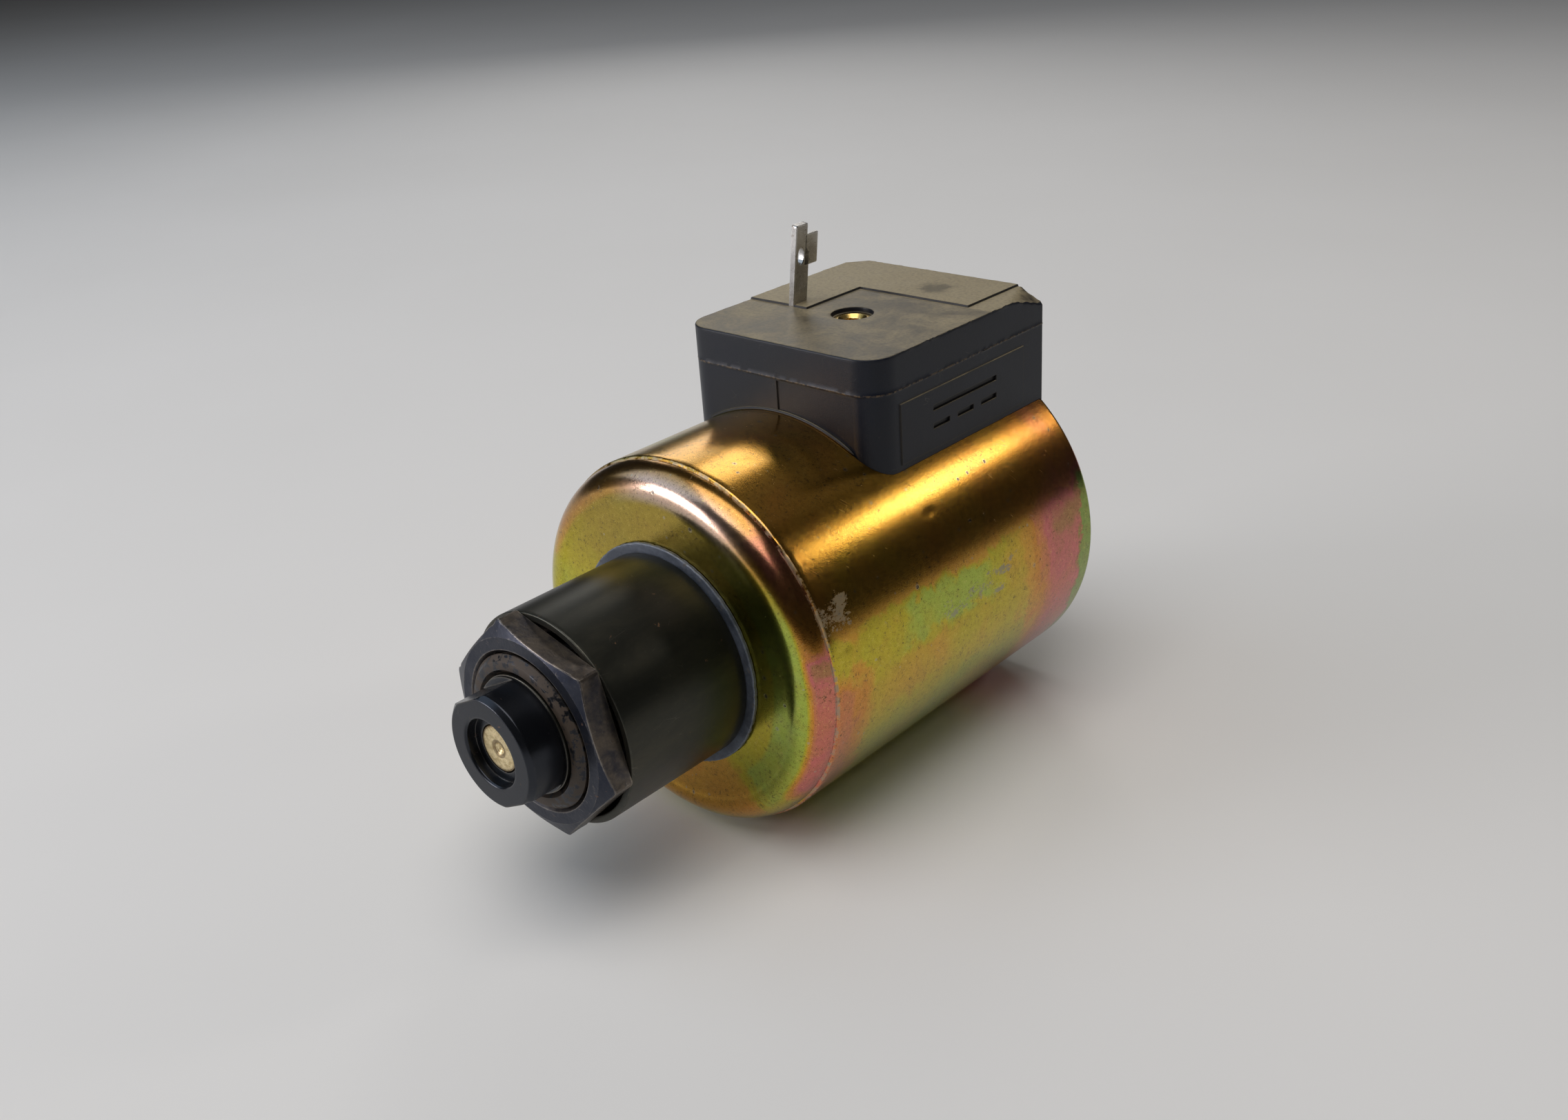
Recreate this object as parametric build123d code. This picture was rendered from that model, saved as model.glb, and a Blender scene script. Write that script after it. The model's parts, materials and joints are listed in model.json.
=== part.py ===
"""Wet-pin solenoid operator for a directional valve: a coil that slips over a pole tube, held by a nut.

Millimetres. The pole tube's axis is +Y. The origin is on that axis, at the seat where the coil's rear
face meets the valve body. The nose thread points along +Y, the hand override is at the -Y end, and the
electrical connector points up, along +Z.
"""

import os
from math import cos, radians, sin

from build123d import *

# --- coil can: drawn steel, zinc plated ---------------------------------------------------------
CAN_R = 22.5            # outer radius
CAN_LENGTH = 53.36      # front face to rear lip
CAN_WALL = 1.6
SHOULDER_RUN = 3.9      # radial width of the rounded front shoulder
SHOULDER_RISE = 3.0     # how far it drops back from the front face
RIDGE_STEP = 0.3        # the shoulder ends this much inside the cylinder
LIP_INNER_R = 20.2      # rear lip, rolled over the end plate
LIP_THICKNESS = 0.6
RIM_ROUND = 0.45
GAP = 0.05              # assembly gap between pieces that don't move on each other

# --- fits on the tube --------------------------------------------------------------------------
TUBE_R = 11.42          # outer radius of the pole tube
COIL_BORE_R = 11.50     # running fit on the tube
BEARING_CLEARANCE = 0.06

# --- connector block ---------------------------------------------------------------------------
BLOCK_HALF_WIDTH = 14.7
BLOCK_LENGTH = 32.77
BLOCK_TOP = 31.19
BLOCK_FRONT_ROUND = 3.5
BLOCK_REAR_CHAMFER = 2.3   # left rear corner only: the right one is square, with its top knocked off
CHIP = (3.1, 6.5, 1.8)  # the knocked-off corner, along X, Y and Z
PAD_HEIGHT = 0.25       # raised land on the rear and left of the top face
PAD_RIGHT = 11.2
PAD_FRONT = -10.6
PAD_ARM_RIGHT = -5.4    # the land's arm runs forward beside the contact blade
PAD_ARM_FRONT = -20.8
PANEL_DEPTH = 0.2       # shallow panel sunk in the front side
FRONT_PANEL_RIGHT = 12.3
FRONT_PANEL_TOP = 26.4
SIDE_PANEL_RISE = 0.15  # thin panel standing on the right side, for the voltage sign
SIDE_PANEL_Y = (-28.6, -4.2)
SIDE_PANEL_Z = (17.7, 25.0)
INSERT_XY = (0.5, -19.26)
INSERT_R = 2.3
INSERT_HOLE_R = 2.55
INSERT_THREAD_R = 1.5   # M3
INSERT_TOP = 30.35
INSERT_LENGTH = 6.0

# --- contact blade -----------------------------------------------------------------------------
BLADE_XY = (-7.9, -19.6)
BLADE_THICKNESS = 0.9
BLADE_WIDTH = 2.5
BLADE_FOOT = 24.0       # buried in the block from here up
BLADE_STEM_TOP = 37.6
BLADE_TOP = 41.1
BLADE_HEAD_WIDTH = 2.1
BLADE_LEAN = 7.5        # degrees towards +X
FLAG_SIZE = (0.45, 1.9, 3.9)
EYE_SIZE = (1.1, 2.1)

# --- inside the can, front to rear -------------------------------------------------------------
FLUX_WASHER_THICKNESS = 3.0
END_PLATE_THICKNESS = 2.5
FLANGE_THICKNESS = 1.5
BOBBIN_WALL = 1.2
FLANGE_R = 18.4
WINDING_R = 17.9
WRAP_THICKNESS = 0.4
MOULDING_INNER_R = 18.45
WIRE_R = 0.5

# --- front stack on the tube -------------------------------------------------------------------
GASKET_R = 13.53
GASKET_THICKNESS = 0.46
SLEEVE_R = 12.39
SLEEVE_LENGTH = 17.14
NUT_FLATS = 22.0
NUT_THICKNESS = 3.15
NUT_COUNTERSINK = 0.4   # depth and width of the chamfer at its bore
NUT_TURN = 15.0         # degrees from +X down to the first corner
NECK_R = 9.0            # M18 thread on the front of the tube
NECK_FRONT = -74.76
NECK_ROOT = -66.06
NECK_BORE_R = 6.9

# --- end plug and hand override ----------------------------------------------------------------
TIP_FRONT = -79.35
TIP_R = 6.75
TIP_FLATS = 12.0
TIP_FLAT_TURN = 118.0   # degrees, direction the flats face
RECESS_R = 3.87
RECESS_DEPTH = 1.25
PIN_R = 2.69
PIN_BORE_R = 2.75
PIN_HEAD_R = 3.6
PIN_FRONT = -78.14
PLUG_STEP = -70.05      # the pin's head rests here
PLUG_REAR = -62.9
PLUG_SEAL = (-66.6, -64.9)     # groove for the ring between plug and neck
PLUG_SEAL_R = 5.75
PIN_SEAL = (-73.4, -72.0)      # groove for the ring round the pin
PIN_SEAL_R = 3.7
RETAINER = (-64.4, -63.7)      # groove for the ring that keeps the pin in
RETAINER_R = 4.4

# --- armature, pole piece and nose -------------------------------------------------------------
CHAMBER_R = 9.0
CHAMBER_FRONT = -62.86
BUSH_WALL = 0.28
BUSH_LENGTH = 5.0
ARMATURE_FRONT = -62.66
STROKE = 2.8
SHIM_THICKNESS = 0.3
POLE_FACE = -31.36
RING_FRONT = -34.36
RING_REAR = -29.36
PUSH_PIN_R = 2.0
PUSH_PIN_SOCKET = 9.0   # depth of the pin's hole in the armature
PIN_BUSH_R = 3.0
PIN_BUSH_LENGTH = 8.0
NOSE_R = 11.0           # M22 thread that screws into the valve body
NOSE_THREAD_LENGTH = 7.5
NOSE_PILOT_R = 9.6
NOSE_LENGTH = 11.0
PUSH_PIN_PROUD = 1.2
NOSE_SEAL = (8.2, 10.0)
NOSE_SEAL_R = 8.1

CAN_FRONT = -CAN_LENGTH
CAN_INNER_R = CAN_R - CAN_WALL
GASKET_FRONT = CAN_FRONT - 0.04 - GASKET_THICKNESS
SLEEVE_FRONT = GASKET_FRONT - SLEEVE_LENGTH
NUT_FRONT = SLEEVE_FRONT - NUT_THICKNESS
WASHER_FRONT = CAN_FRONT + CAN_WALL + GAP
BOBBIN_FRONT = WASHER_FRONT + FLUX_WASHER_THICKNESS + GAP
PLATE_REAR = -LIP_THICKNESS
PLATE_FRONT = PLATE_REAR - END_PLATE_THICKNESS
BOBBIN_REAR = PLATE_FRONT - GAP
ARMATURE_REAR = POLE_FACE - SHIM_THICKNESS - 0.02 - STROKE
PUSH_PIN_FRONT = ARMATURE_REAR - PUSH_PIN_SOCKET
BUSH_INNER_R = CHAMBER_R - BUSH_WALL
ARMATURE_R = BUSH_INNER_R - BEARING_CLEARANCE


def turned(*outline):
    """Solid of revolution about the Y axis from a closed outline of (radius, y) points."""
    return revolve(make_face(Polyline(*outline, close=True)), Axis.Y)


def tube(inner, outer, front, rear, chamfer=0.0):
    """Plain ring about the Y axis, its outer edges broken by a chamfer."""
    return turned(
        (inner, front),
        (outer - chamfer, front),
        *([(outer, front + chamfer), (outer, rear - chamfer)] if chamfer else [(outer, rear)]),
        *([(outer - chamfer, rear)] if chamfer else []),
        (inner, rear),
    )


def rod(radius, front, rear, chamfer=0.0):
    """Solid cylinder on the Y axis."""
    return tube(0, radius, front, rear, chamfer)


def o_ring(major, minor, y):
    """Ring of round section about the Y axis."""
    return Pos(0, y, 0) * Rot(90, 0, 0) * Torus(major, minor)


def upright(radius, x, y, low, high):
    """Cylinder along Z between two heights."""
    return Pos(x, y, (low + high) / 2) * Cylinder(radius, high - low)


def slab(x, y, z):
    """Box given by its (low, high) limits on each axis."""
    centre = [(a + b) / 2 for a, b in (x, y, z)]
    return Pos(*centre) * Box(*(b - a for a, b in (x, y, z)))


# --- coil ----------------------------------------------------------------------------------------
def coil_can():
    """Deep-drawn cup: flat front, rounded shoulder ending at a ridge, rear lip turned in.

    Its opening for the connector block is square at the rear and follows the block's round front corners."""
    ridge_r = CAN_R - RIDGE_STEP
    ridge_y = CAN_FRONT + SHOULDER_RISE
    radius = (SHOULDER_RISE**2 + SHOULDER_RUN**2) / (2 * SHOULDER_RUN)
    centre = Vector(ridge_r - radius, ridge_y)
    start = Vector(ridge_r - SHOULDER_RUN, CAN_FRONT)
    end = Vector(ridge_r, ridge_y)
    middle = centre + ((start - centre) + (end - centre)).normalized() * radius
    inside_front = CAN_FRONT + CAN_WALL
    inside_corner = 1.8
    edge = [
        Line((COIL_BORE_R, CAN_FRONT), start),
        ThreePointArc(start, middle, end),
        Polyline(end, (CAN_R, ridge_y + RIDGE_STEP / 2), (CAN_R, -RIM_ROUND)),
        RadiusArc((CAN_R, -RIM_ROUND), (CAN_R - RIM_ROUND, 0), -RIM_ROUND),
        Polyline(
            (CAN_R - RIM_ROUND, 0),
            (LIP_INNER_R, 0),
            (LIP_INNER_R, PLATE_REAR),
            (CAN_INNER_R, PLATE_REAR),
            (CAN_INNER_R, inside_front + inside_corner),
            (CAN_INNER_R - inside_corner, inside_front),
            (COIL_BORE_R, inside_front),
            (COIL_BORE_R, CAN_FRONT),
        ),
    ]
    cup = revolve(make_face(edge), Axis.Y)
    half = BLOCK_HALF_WIDTH + GAP
    top = CAN_R + 1
    opening = slab((-half, half), (-BLOCK_LENGTH / 2, 1), (0, top))
    return cup - opening - extrude(offset(block_outline(), GAP), top)


def front_flux_washer():
    return tube(COIL_BORE_R, CAN_INNER_R - 1.9, WASHER_FRONT, WASHER_FRONT + FLUX_WASHER_THICKNESS, 0.3)


def rear_end_plate():
    """Thick steel washer that closes the can, with a seal groove round its bore."""
    groove_r = 13.7
    groove_depth = 1.4
    plate = tube(COIL_BORE_R, CAN_INNER_R - GAP, PLATE_FRONT, PLATE_REAR)
    return plate - tube(COIL_BORE_R - 1, groove_r, PLATE_REAR - groove_depth, PLATE_REAR + 1) - earth_wire()


def coil_rear_seal():
    minor = 0.95
    return o_ring(COIL_BORE_R + GAP + minor, minor, PLATE_REAR - 1.35 + minor)


def bobbin():
    core = tube(COIL_BORE_R, COIL_BORE_R + BOBBIN_WALL, BOBBIN_FRONT, BOBBIN_REAR)
    for front in (BOBBIN_FRONT, BOBBIN_REAR - FLANGE_THICKNESS):
        core += tube(COIL_BORE_R, FLANGE_R, front, front + FLANGE_THICKNESS)
    return core - earth_wire()


def winding_span():
    """Front and rear of the space between the bobbin's flanges."""
    return BOBBIN_FRONT + FLANGE_THICKNESS + GAP, BOBBIN_REAR - FLANGE_THICKNESS - GAP


def winding():
    return tube(COIL_BORE_R + BOBBIN_WALL + GAP, WINDING_R, *winding_span()) - live_wire() - earth_wire()


def winding_wrap():
    wrap = tube(WINDING_R, WINDING_R + WRAP_THICKNESS, *winding_span())
    return wrap - live_wire()


def live_wire():
    """Lead from the winding's outer turn up to the foot of the contact blade."""
    x, y = BLADE_XY
    return upright(WIRE_R, x, y, (WINDING_R**2 - x**2) ** 0.5 - 0.6, BLADE_FOOT)


def earth_wire():
    """Lead from the winding through the rear flange, soldered into the end plate."""
    start = winding_span()[1] - 2.0
    angle = radians(60)
    reach = WINDING_R - 1.5
    return Pos(reach * cos(angle), 0, reach * sin(angle)) * rod(WIRE_R, start, PLATE_FRONT + 1.0)


def block_outline():
    """Plan of the connector block: rounded front corners, one chamfered rear corner."""
    w, length = BLOCK_HALF_WIDTH, BLOCK_LENGTH
    plan = Pos(0, -length / 2) * Rectangle(2 * w, length)
    rear_left = plan.vertices().filter_by(lambda v: v.Y > -1 and v.X < 0)
    plan = chamfer(rear_left, BLOCK_REAR_CHAMFER)
    front = plan.vertices().filter_by(lambda v: v.Y < 1 - length)
    return fillet(front, BLOCK_FRONT_ROUND)


def knocked_off_corner(w, top):
    """Half-space beyond the slanting plane where the right rear top corner is broken away."""
    along_x, along_y, along_z = CHIP
    a, b, c = Vector(w, -along_y, top), Vector(w - along_x, 0, top), Vector(w, 0, top - along_z)
    plane = Plane(origin=a, x_dir=b - a, z_dir=(c - a).cross(b - a))
    return plane * Box(40, 40, 10, align=(Align.CENTER, Align.CENTER, Align.MIN))


def connector_block():
    """One black moulding: a jacket round the winding, and the connector that stands up from it."""
    span = (BOBBIN_FRONT, BOBBIN_REAR)
    w, length, top = BLOCK_HALF_WIDTH, BLOCK_LENGTH, BLOCK_TOP - PAD_HEIGHT
    block = extrude(block_outline(), top)
    land = slab((-w, PAD_RIGHT), (PAD_FRONT, 0), (top - 1, BLOCK_TOP))
    land += slab((-w, PAD_ARM_RIGHT), (PAD_ARM_FRONT, PAD_FRONT + 1), (top - 1, BLOCK_TOP))
    block += land & extrude(block_outline(), BLOCK_TOP)
    block -= knocked_off_corner(w, top)
    block -= slab((0, FRONT_PANEL_RIGHT), (-length - 1, PANEL_DEPTH - length), (0, FRONT_PANEL_TOP))
    block += slab((w - 1, w + SIDE_PANEL_RISE), SIDE_PANEL_Y, SIDE_PANEL_Z)
    block -= rod(MOULDING_INNER_R + 1, -length - 1, 1)
    block -= rod(CAN_INNER_R, PLATE_FRONT - GAP, 1)
    block += tube(MOULDING_INNER_R, CAN_INNER_R - GAP, *span, 1.9)
    x, y = INSERT_XY
    block -= upright(INSERT_HOLE_R, x, y, INSERT_TOP, BLOCK_TOP + 1)
    block -= upright(INSERT_R, x, y, INSERT_TOP - INSERT_LENGTH, INSERT_TOP + 1)
    return block - contact_blade() - live_wire()


def brass_insert():
    x, y = INSERT_XY
    bottom = INSERT_TOP - INSERT_LENGTH
    sleeve = upright(INSERT_R, x, y, bottom, INSERT_TOP)
    return sleeve - upright(INSERT_THREAD_R, x, y, bottom - 1, INSERT_TOP + 1)


def contact_blade():
    """Flat tinned blade with an eye and a bent side flag, leaning a little to one side."""
    t, w = BLADE_THICKNESS, BLADE_WIDTH
    head = BLADE_HEAD_WIDTH
    stem = slab((-t / 2, t / 2), (-w / 2, w / 2), (BLADE_FOOT, BLADE_STEM_TOP))
    stem += slab((-t / 2, t / 2), (-w / 2, head - w / 2), (BLADE_STEM_TOP - 1, BLADE_TOP))
    flag_x, flag_y, flag_z = FLAG_SIZE
    rear = head - w / 2
    low = BLADE_TOP - 1.4 - flag_z
    stem += slab((t / 2 - flag_x, t / 2), (rear - 0.5, rear + flag_y), (low, low + flag_z))
    eye = Pos(0, -w / 2 + head / 2, BLADE_STEM_TOP - 0.4) * Rot(0, 90, 0) * extrude(
        SlotOverall(EYE_SIZE[1], EYE_SIZE[0]), t, both=True
    )
    x, y = BLADE_XY
    root = BLOCK_TOP - PAD_HEIGHT
    standing = Pos(0, 0, -root) * (stem - eye)
    straight = standing & slab((-5, 5), (-5, 5), (BLADE_FOOT - root, 0))
    leaning = Rot(0, BLADE_LEAN, 0) * (standing & slab((-5, 5), (-5, 5), (-t / 2, 15)))
    return Pos(x, y, root) * (straight + leaning)


# --- pole tube -----------------------------------------------------------------------------------
def front_gasket():
    return tube(COIL_BORE_R, GASKET_R, GASKET_FRONT, GASKET_FRONT + GASKET_THICKNESS, 0.1)


def spacer_sleeve():
    return tube(COIL_BORE_R, SLEEVE_R, SLEEVE_FRONT, GASKET_FRONT, 0.15)


def hex_nut():
    """Thin hexagon nut, its front corners turned off at 30 degrees."""
    corner_r = NUT_FLATS / 2 / cos(radians(30))
    crown = 0.75
    plane = Plane((0, NUT_FRONT, 0), x_dir=(1, 0, 0), z_dir=(0, 1, 0))
    prism = extrude(plane * RegularPolygon(corner_r, 6, rotation=NUT_TURN), NUT_THICKNESS)
    cone = turned(
        (0, NUT_FRONT),
        (NUT_FLATS / 2 - 0.2, NUT_FRONT),
        (corner_r + 0.5, NUT_FRONT + crown + 0.2),
        (corner_r + 0.5, SLEEVE_FRONT),
        (0, SLEEVE_FRONT),
    )
    mouth_r = NECK_R + NUT_COUNTERSINK
    countersink = turned((0, NUT_FRONT - 1), (mouth_r + 1, NUT_FRONT - 1), (0, NUT_FRONT + mouth_r))
    return (prism & cone) - rod(NECK_R, NUT_FRONT - 1, SLEEVE_FRONT + 1) - countersink


def guide_tube():
    """Steel tube the armature runs in, stepped down to a threaded neck at the front."""
    neck = NECK_R - 0.03
    bore_chamfer = 0.5
    return turned(
        (NECK_BORE_R + bore_chamfer, NECK_FRONT),
        (neck - 0.65, NECK_FRONT),
        (neck, NECK_FRONT + 0.65),
        (neck, NECK_ROOT),
        (TUBE_R - 0.4, NECK_ROOT),
        (TUBE_R, NECK_ROOT + 0.4),
        (TUBE_R, RING_FRONT),
        (CHAMBER_R, RING_FRONT),
        (CHAMBER_R, CHAMBER_FRONT),
        (NECK_BORE_R, CHAMBER_FRONT),
        (NECK_BORE_R, NECK_FRONT + bore_chamfer),
    )


def end_plug():
    """Plug screwed into the neck: wrench flats outside, override bore through the middle."""
    body_r = NECK_BORE_R - 0.03
    rim = 0.55
    seal_front, seal_rear = PLUG_SEAL
    pin_seal_front, pin_seal_rear = PIN_SEAL
    ring_front, ring_rear = RETAINER
    plug = turned(
        (RECESS_R + 0.2, TIP_FRONT),
        (TIP_R - rim, TIP_FRONT),
        (TIP_R, TIP_FRONT + rim),
        (TIP_R, NECK_FRONT),
        (body_r, NECK_FRONT),
        (body_r, seal_front),
        (PLUG_SEAL_R, seal_front),
        (PLUG_SEAL_R, seal_rear),
        (body_r, seal_rear),
        (body_r, PLUG_REAR),
        (PIN_HEAD_R + 0.2, PLUG_REAR),
        (PIN_HEAD_R + 0.2, ring_rear),
        (RETAINER_R, ring_rear),
        (RETAINER_R, ring_front),
        (PIN_HEAD_R + 0.2, ring_front),
        (PIN_HEAD_R + 0.2, PLUG_STEP),
        (PIN_BORE_R, PLUG_STEP),
        (PIN_BORE_R, pin_seal_rear),
        (PIN_SEAL_R, pin_seal_rear),
        (PIN_SEAL_R, pin_seal_front),
        (PIN_BORE_R, pin_seal_front),
        (PIN_BORE_R, TIP_FRONT + RECESS_DEPTH),
        (RECESS_R, TIP_FRONT + RECESS_DEPTH),
        (RECESS_R, TIP_FRONT + 0.2),
    )
    flat_rear = NECK_FRONT - 0.35
    for side in (1, -1):
        cutter = slab((TIP_FLATS / 2, TIP_R + 1), (TIP_FRONT - 1, flat_rear), (-TIP_R, TIP_R))
        plug -= Rot(0, -TIP_FLAT_TURN, 0) * Rot(0, 90 - 90 * side, 0) * cutter
    return plug


def end_plug_seal():
    minor = (NECK_BORE_R - PLUG_SEAL_R) / 2 - 0.01
    return o_ring(PLUG_SEAL_R + minor + 0.01, minor, sum(PLUG_SEAL) / 2)


def override_seal():
    minor = (PIN_SEAL_R - PIN_BORE_R) / 2 - 0.01
    return o_ring(PIN_BORE_R + minor + 0.01, minor, sum(PIN_SEAL) / 2)


def override_retaining_ring():
    """Spring ring with a gap, so that it closes up to go into its groove."""
    front, rear = RETAINER
    ring = tube(PIN_HEAD_R - 0.8, RETAINER_R - 0.03, front + GAP, rear - GAP)
    return ring - slab((-0.9, 0.9), (front, rear), (-RETAINER_R - 1, 0))


def override_pin():
    """Hand override: pushed in, its inner end shoves the armature towards the valve."""
    dimple_r = 0.85
    dimple_depth = 0.4
    inner_r = 2.2
    head_rear = PLUG_STEP + 2.0
    return turned(
        (0, PIN_FRONT + dimple_depth),
        (dimple_r, PIN_FRONT),
        (PIN_R - 0.2, PIN_FRONT),
        (PIN_R, PIN_FRONT + 0.2),
        (PIN_R, PLUG_STEP + 0.02),
        (PIN_HEAD_R, PLUG_STEP + 0.02),
        (PIN_HEAD_R, head_rear),
        (inner_r, head_rear),
        (inner_r, ARMATURE_FRONT - 0.04),
        (0, ARMATURE_FRONT - 0.04),
    )


def armature_bush(front):
    return tube(BUSH_INNER_R, CHAMBER_R, front, front + BUSH_LENGTH)


def armature():
    """Soft-iron plunger with slots along it for the oil, drilled for the push pin."""
    slot_depth = 1.2
    slot_half_width = 0.8
    body = rod(ARMATURE_R, ARMATURE_FRONT, ARMATURE_REAR, 0.4)
    for angle in (0, 90, 180, 270):
        cutter = slab(
            (ARMATURE_R - slot_depth, ARMATURE_R + 1),
            (ARMATURE_FRONT - 1, ARMATURE_REAR + 1),
            (-slot_half_width, slot_half_width),
        )
        body -= Rot(0, angle + 45, 0) * cutter
    return body - rod(PUSH_PIN_R, PUSH_PIN_FRONT, ARMATURE_REAR + 1)


def push_pin():
    return rod(PUSH_PIN_R, PUSH_PIN_FRONT, NOSE_LENGTH + PUSH_PIN_PROUD, 0.3)


def antiresidual_shim():
    """Brass washer that keeps the armature from sticking to the pole face."""
    return tube(PUSH_PIN_R + 1.2, CHAMBER_R - 0.6, POLE_FACE - SHIM_THICKNESS, POLE_FACE)


def nonmagnetic_ring():
    return tube(CHAMBER_R, TUBE_R, RING_FRONT, RING_REAR)


def push_pin_bush():
    return tube(PUSH_PIN_R + BEARING_CLEARANCE, PIN_BUSH_R, POLE_FACE, POLE_FACE + PIN_BUSH_LENGTH)


def pole_piece():
    """Fixed pole, which goes on as the threaded nose that screws into the valve body."""
    groove_front, groove_rear = NOSE_SEAL
    bush_rear = POLE_FACE + PIN_BUSH_LENGTH
    clear_r = PUSH_PIN_R + 0.4
    lead_in = 0.5
    return turned(
        (PIN_BUSH_R, POLE_FACE),
        (CHAMBER_R - 0.02, POLE_FACE),
        (CHAMBER_R - 0.02, RING_REAR),
        (TUBE_R, RING_REAR),
        (TUBE_R, -0.4),
        (NOSE_R, 0),
        (NOSE_R, NOSE_THREAD_LENGTH - lead_in),
        (NOSE_R - lead_in, NOSE_THREAD_LENGTH),
        (NOSE_PILOT_R, NOSE_THREAD_LENGTH),
        (NOSE_PILOT_R, groove_front),
        (NOSE_SEAL_R, groove_front),
        (NOSE_SEAL_R, groove_rear),
        (NOSE_PILOT_R, groove_rear),
        (NOSE_PILOT_R, NOSE_LENGTH - 0.4),
        (NOSE_PILOT_R - 0.4, NOSE_LENGTH),
        (clear_r, NOSE_LENGTH),
        (clear_r, bush_rear),
        (PIN_BUSH_R, bush_rear),
    )


def nose_seal():
    minor = 0.8
    return o_ring(NOSE_SEAL_R + minor + 0.01, minor, sum(NOSE_SEAL) / 2)


NODES = {
    "coil_can": coil_can,
    "front_flux_washer": front_flux_washer,
    "rear_end_plate": rear_end_plate,
    "coil_rear_seal": coil_rear_seal,
    "bobbin": bobbin,
    "winding": winding,
    "winding_wrap": winding_wrap,
    "live_wire": live_wire,
    "earth_wire": earth_wire,
    "connector_block": connector_block,
    "brass_insert": brass_insert,
    "contact_blade": contact_blade,
    "front_gasket": front_gasket,
    "spacer_sleeve": spacer_sleeve,
    "hex_nut": hex_nut,
    "guide_tube": guide_tube,
    "end_plug": end_plug,
    "end_plug_seal": end_plug_seal,
    "override_pin": override_pin,
    "override_seal": override_seal,
    "override_retaining_ring": override_retaining_ring,
    "armature_bush_front": lambda: armature_bush(ARMATURE_FRONT + 1.2),
    "armature_bush_rear": lambda: armature_bush(ARMATURE_REAR - BUSH_LENGTH - 1.5),
    "armature": armature,
    "push_pin": push_pin,
    "antiresidual_shim": antiresidual_shim,
    "nonmagnetic_ring": nonmagnetic_ring,
    "push_pin_bush": push_pin_bush,
    "pole_piece": pole_piece,
    "nose_seal": nose_seal,
}

os.makedirs("parts", exist_ok=True)
for node, make in NODES.items():
    export_step(make(), f"parts/{node}.step")
print(len(NODES), "nodes written")
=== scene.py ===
# %% [markdown]
# # A valve solenoid, finished round its measured frame
# A hydraulic valve is shifted by a coil that slips over a steel pole tube. A thin nut holds it there.
# The measured model gives every size and every moving body. This script adds what the eye looks for:
# rounded edges, threads, wear, and a finish for each material. Everything is in metres in the end, but a
# maker thinks of such a part in millimetres, so shapes are worked out in millimetres and scaled once.

# %% Load the frame
import json

import bmesh
import bpy
import numpy as np
from mathutils import Matrix, Vector


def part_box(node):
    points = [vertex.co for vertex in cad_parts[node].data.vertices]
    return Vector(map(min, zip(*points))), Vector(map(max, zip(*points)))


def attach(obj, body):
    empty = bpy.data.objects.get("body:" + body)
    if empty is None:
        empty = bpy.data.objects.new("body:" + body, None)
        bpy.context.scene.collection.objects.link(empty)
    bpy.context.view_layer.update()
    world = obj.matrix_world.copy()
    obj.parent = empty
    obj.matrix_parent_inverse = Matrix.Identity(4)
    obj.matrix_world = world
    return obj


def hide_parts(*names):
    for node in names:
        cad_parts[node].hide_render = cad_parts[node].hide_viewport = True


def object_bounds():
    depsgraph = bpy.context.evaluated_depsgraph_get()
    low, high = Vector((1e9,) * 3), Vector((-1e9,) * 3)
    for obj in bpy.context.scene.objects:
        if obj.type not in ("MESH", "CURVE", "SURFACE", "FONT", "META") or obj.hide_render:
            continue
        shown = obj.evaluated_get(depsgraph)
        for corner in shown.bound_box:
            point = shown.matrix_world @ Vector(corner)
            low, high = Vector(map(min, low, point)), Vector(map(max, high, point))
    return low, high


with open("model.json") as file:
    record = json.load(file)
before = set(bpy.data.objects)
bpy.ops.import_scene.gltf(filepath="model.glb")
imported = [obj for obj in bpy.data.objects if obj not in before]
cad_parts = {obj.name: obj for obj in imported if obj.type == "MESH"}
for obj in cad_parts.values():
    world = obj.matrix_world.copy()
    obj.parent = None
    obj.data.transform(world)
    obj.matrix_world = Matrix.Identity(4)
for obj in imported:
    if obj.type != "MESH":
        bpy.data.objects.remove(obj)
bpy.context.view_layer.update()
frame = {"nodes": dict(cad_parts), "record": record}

MM = 0.001

# %% [markdown]
# ## Camera, floor and light
# The part lies on its coil, so the floor is the can's lowest line. The camera stands a hand's length away,
# in front and to the right, and looks down on it a little. A plain pale floor and a few soft lights are
# enough. Satin metal shows its roundness only if some directions are bright and others dark, so the lamps
# are few and set apart. Those called windows stand where the can mirrors them, and give its long streaks.
# The overhead lamp stands where the can can't mirror it, and only lights the floor and the block's top.


# %% A camera from its bearing
CAMERA_PLACE = (114.18, -153.20, 83.35)     # millimetres
AZIMUTH, ELEVATION, ROLL = 43.67, 25.71, -4.12
LENS, SENSOR_WIDTH = 34.73, 36.0
NEAREST_SEEN = 0.01


def add_camera(place, azimuth, elevation, roll, lens):
    """Its back axis is (sin a cos e, -cos a cos e, sin e); right and up are then turned by the roll."""
    a, e, r = np.radians([azimuth, elevation, roll])
    back = np.array([np.sin(a) * np.cos(e), -np.cos(a) * np.cos(e), np.sin(e)])
    right = np.cross(-back, [0, 0, 1])
    right /= np.linalg.norm(right)
    up = np.cross(right, -back)
    axes = [np.cos(r) * right + np.sin(r) * up, np.cos(r) * up - np.sin(r) * right, back]
    camera = bpy.data.objects.new("camera", bpy.data.cameras.new("camera"))
    camera.data.lens, camera.data.sensor_width = lens, SENSOR_WIDTH
    camera.data.clip_start = NEAREST_SEEN
    camera.matrix_world = Matrix.Translation(Vector(place) * MM) @ Matrix(axes).transposed().to_4x4()
    bpy.context.scene.collection.objects.link(camera)
    bpy.context.scene.camera = camera
    return camera


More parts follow.
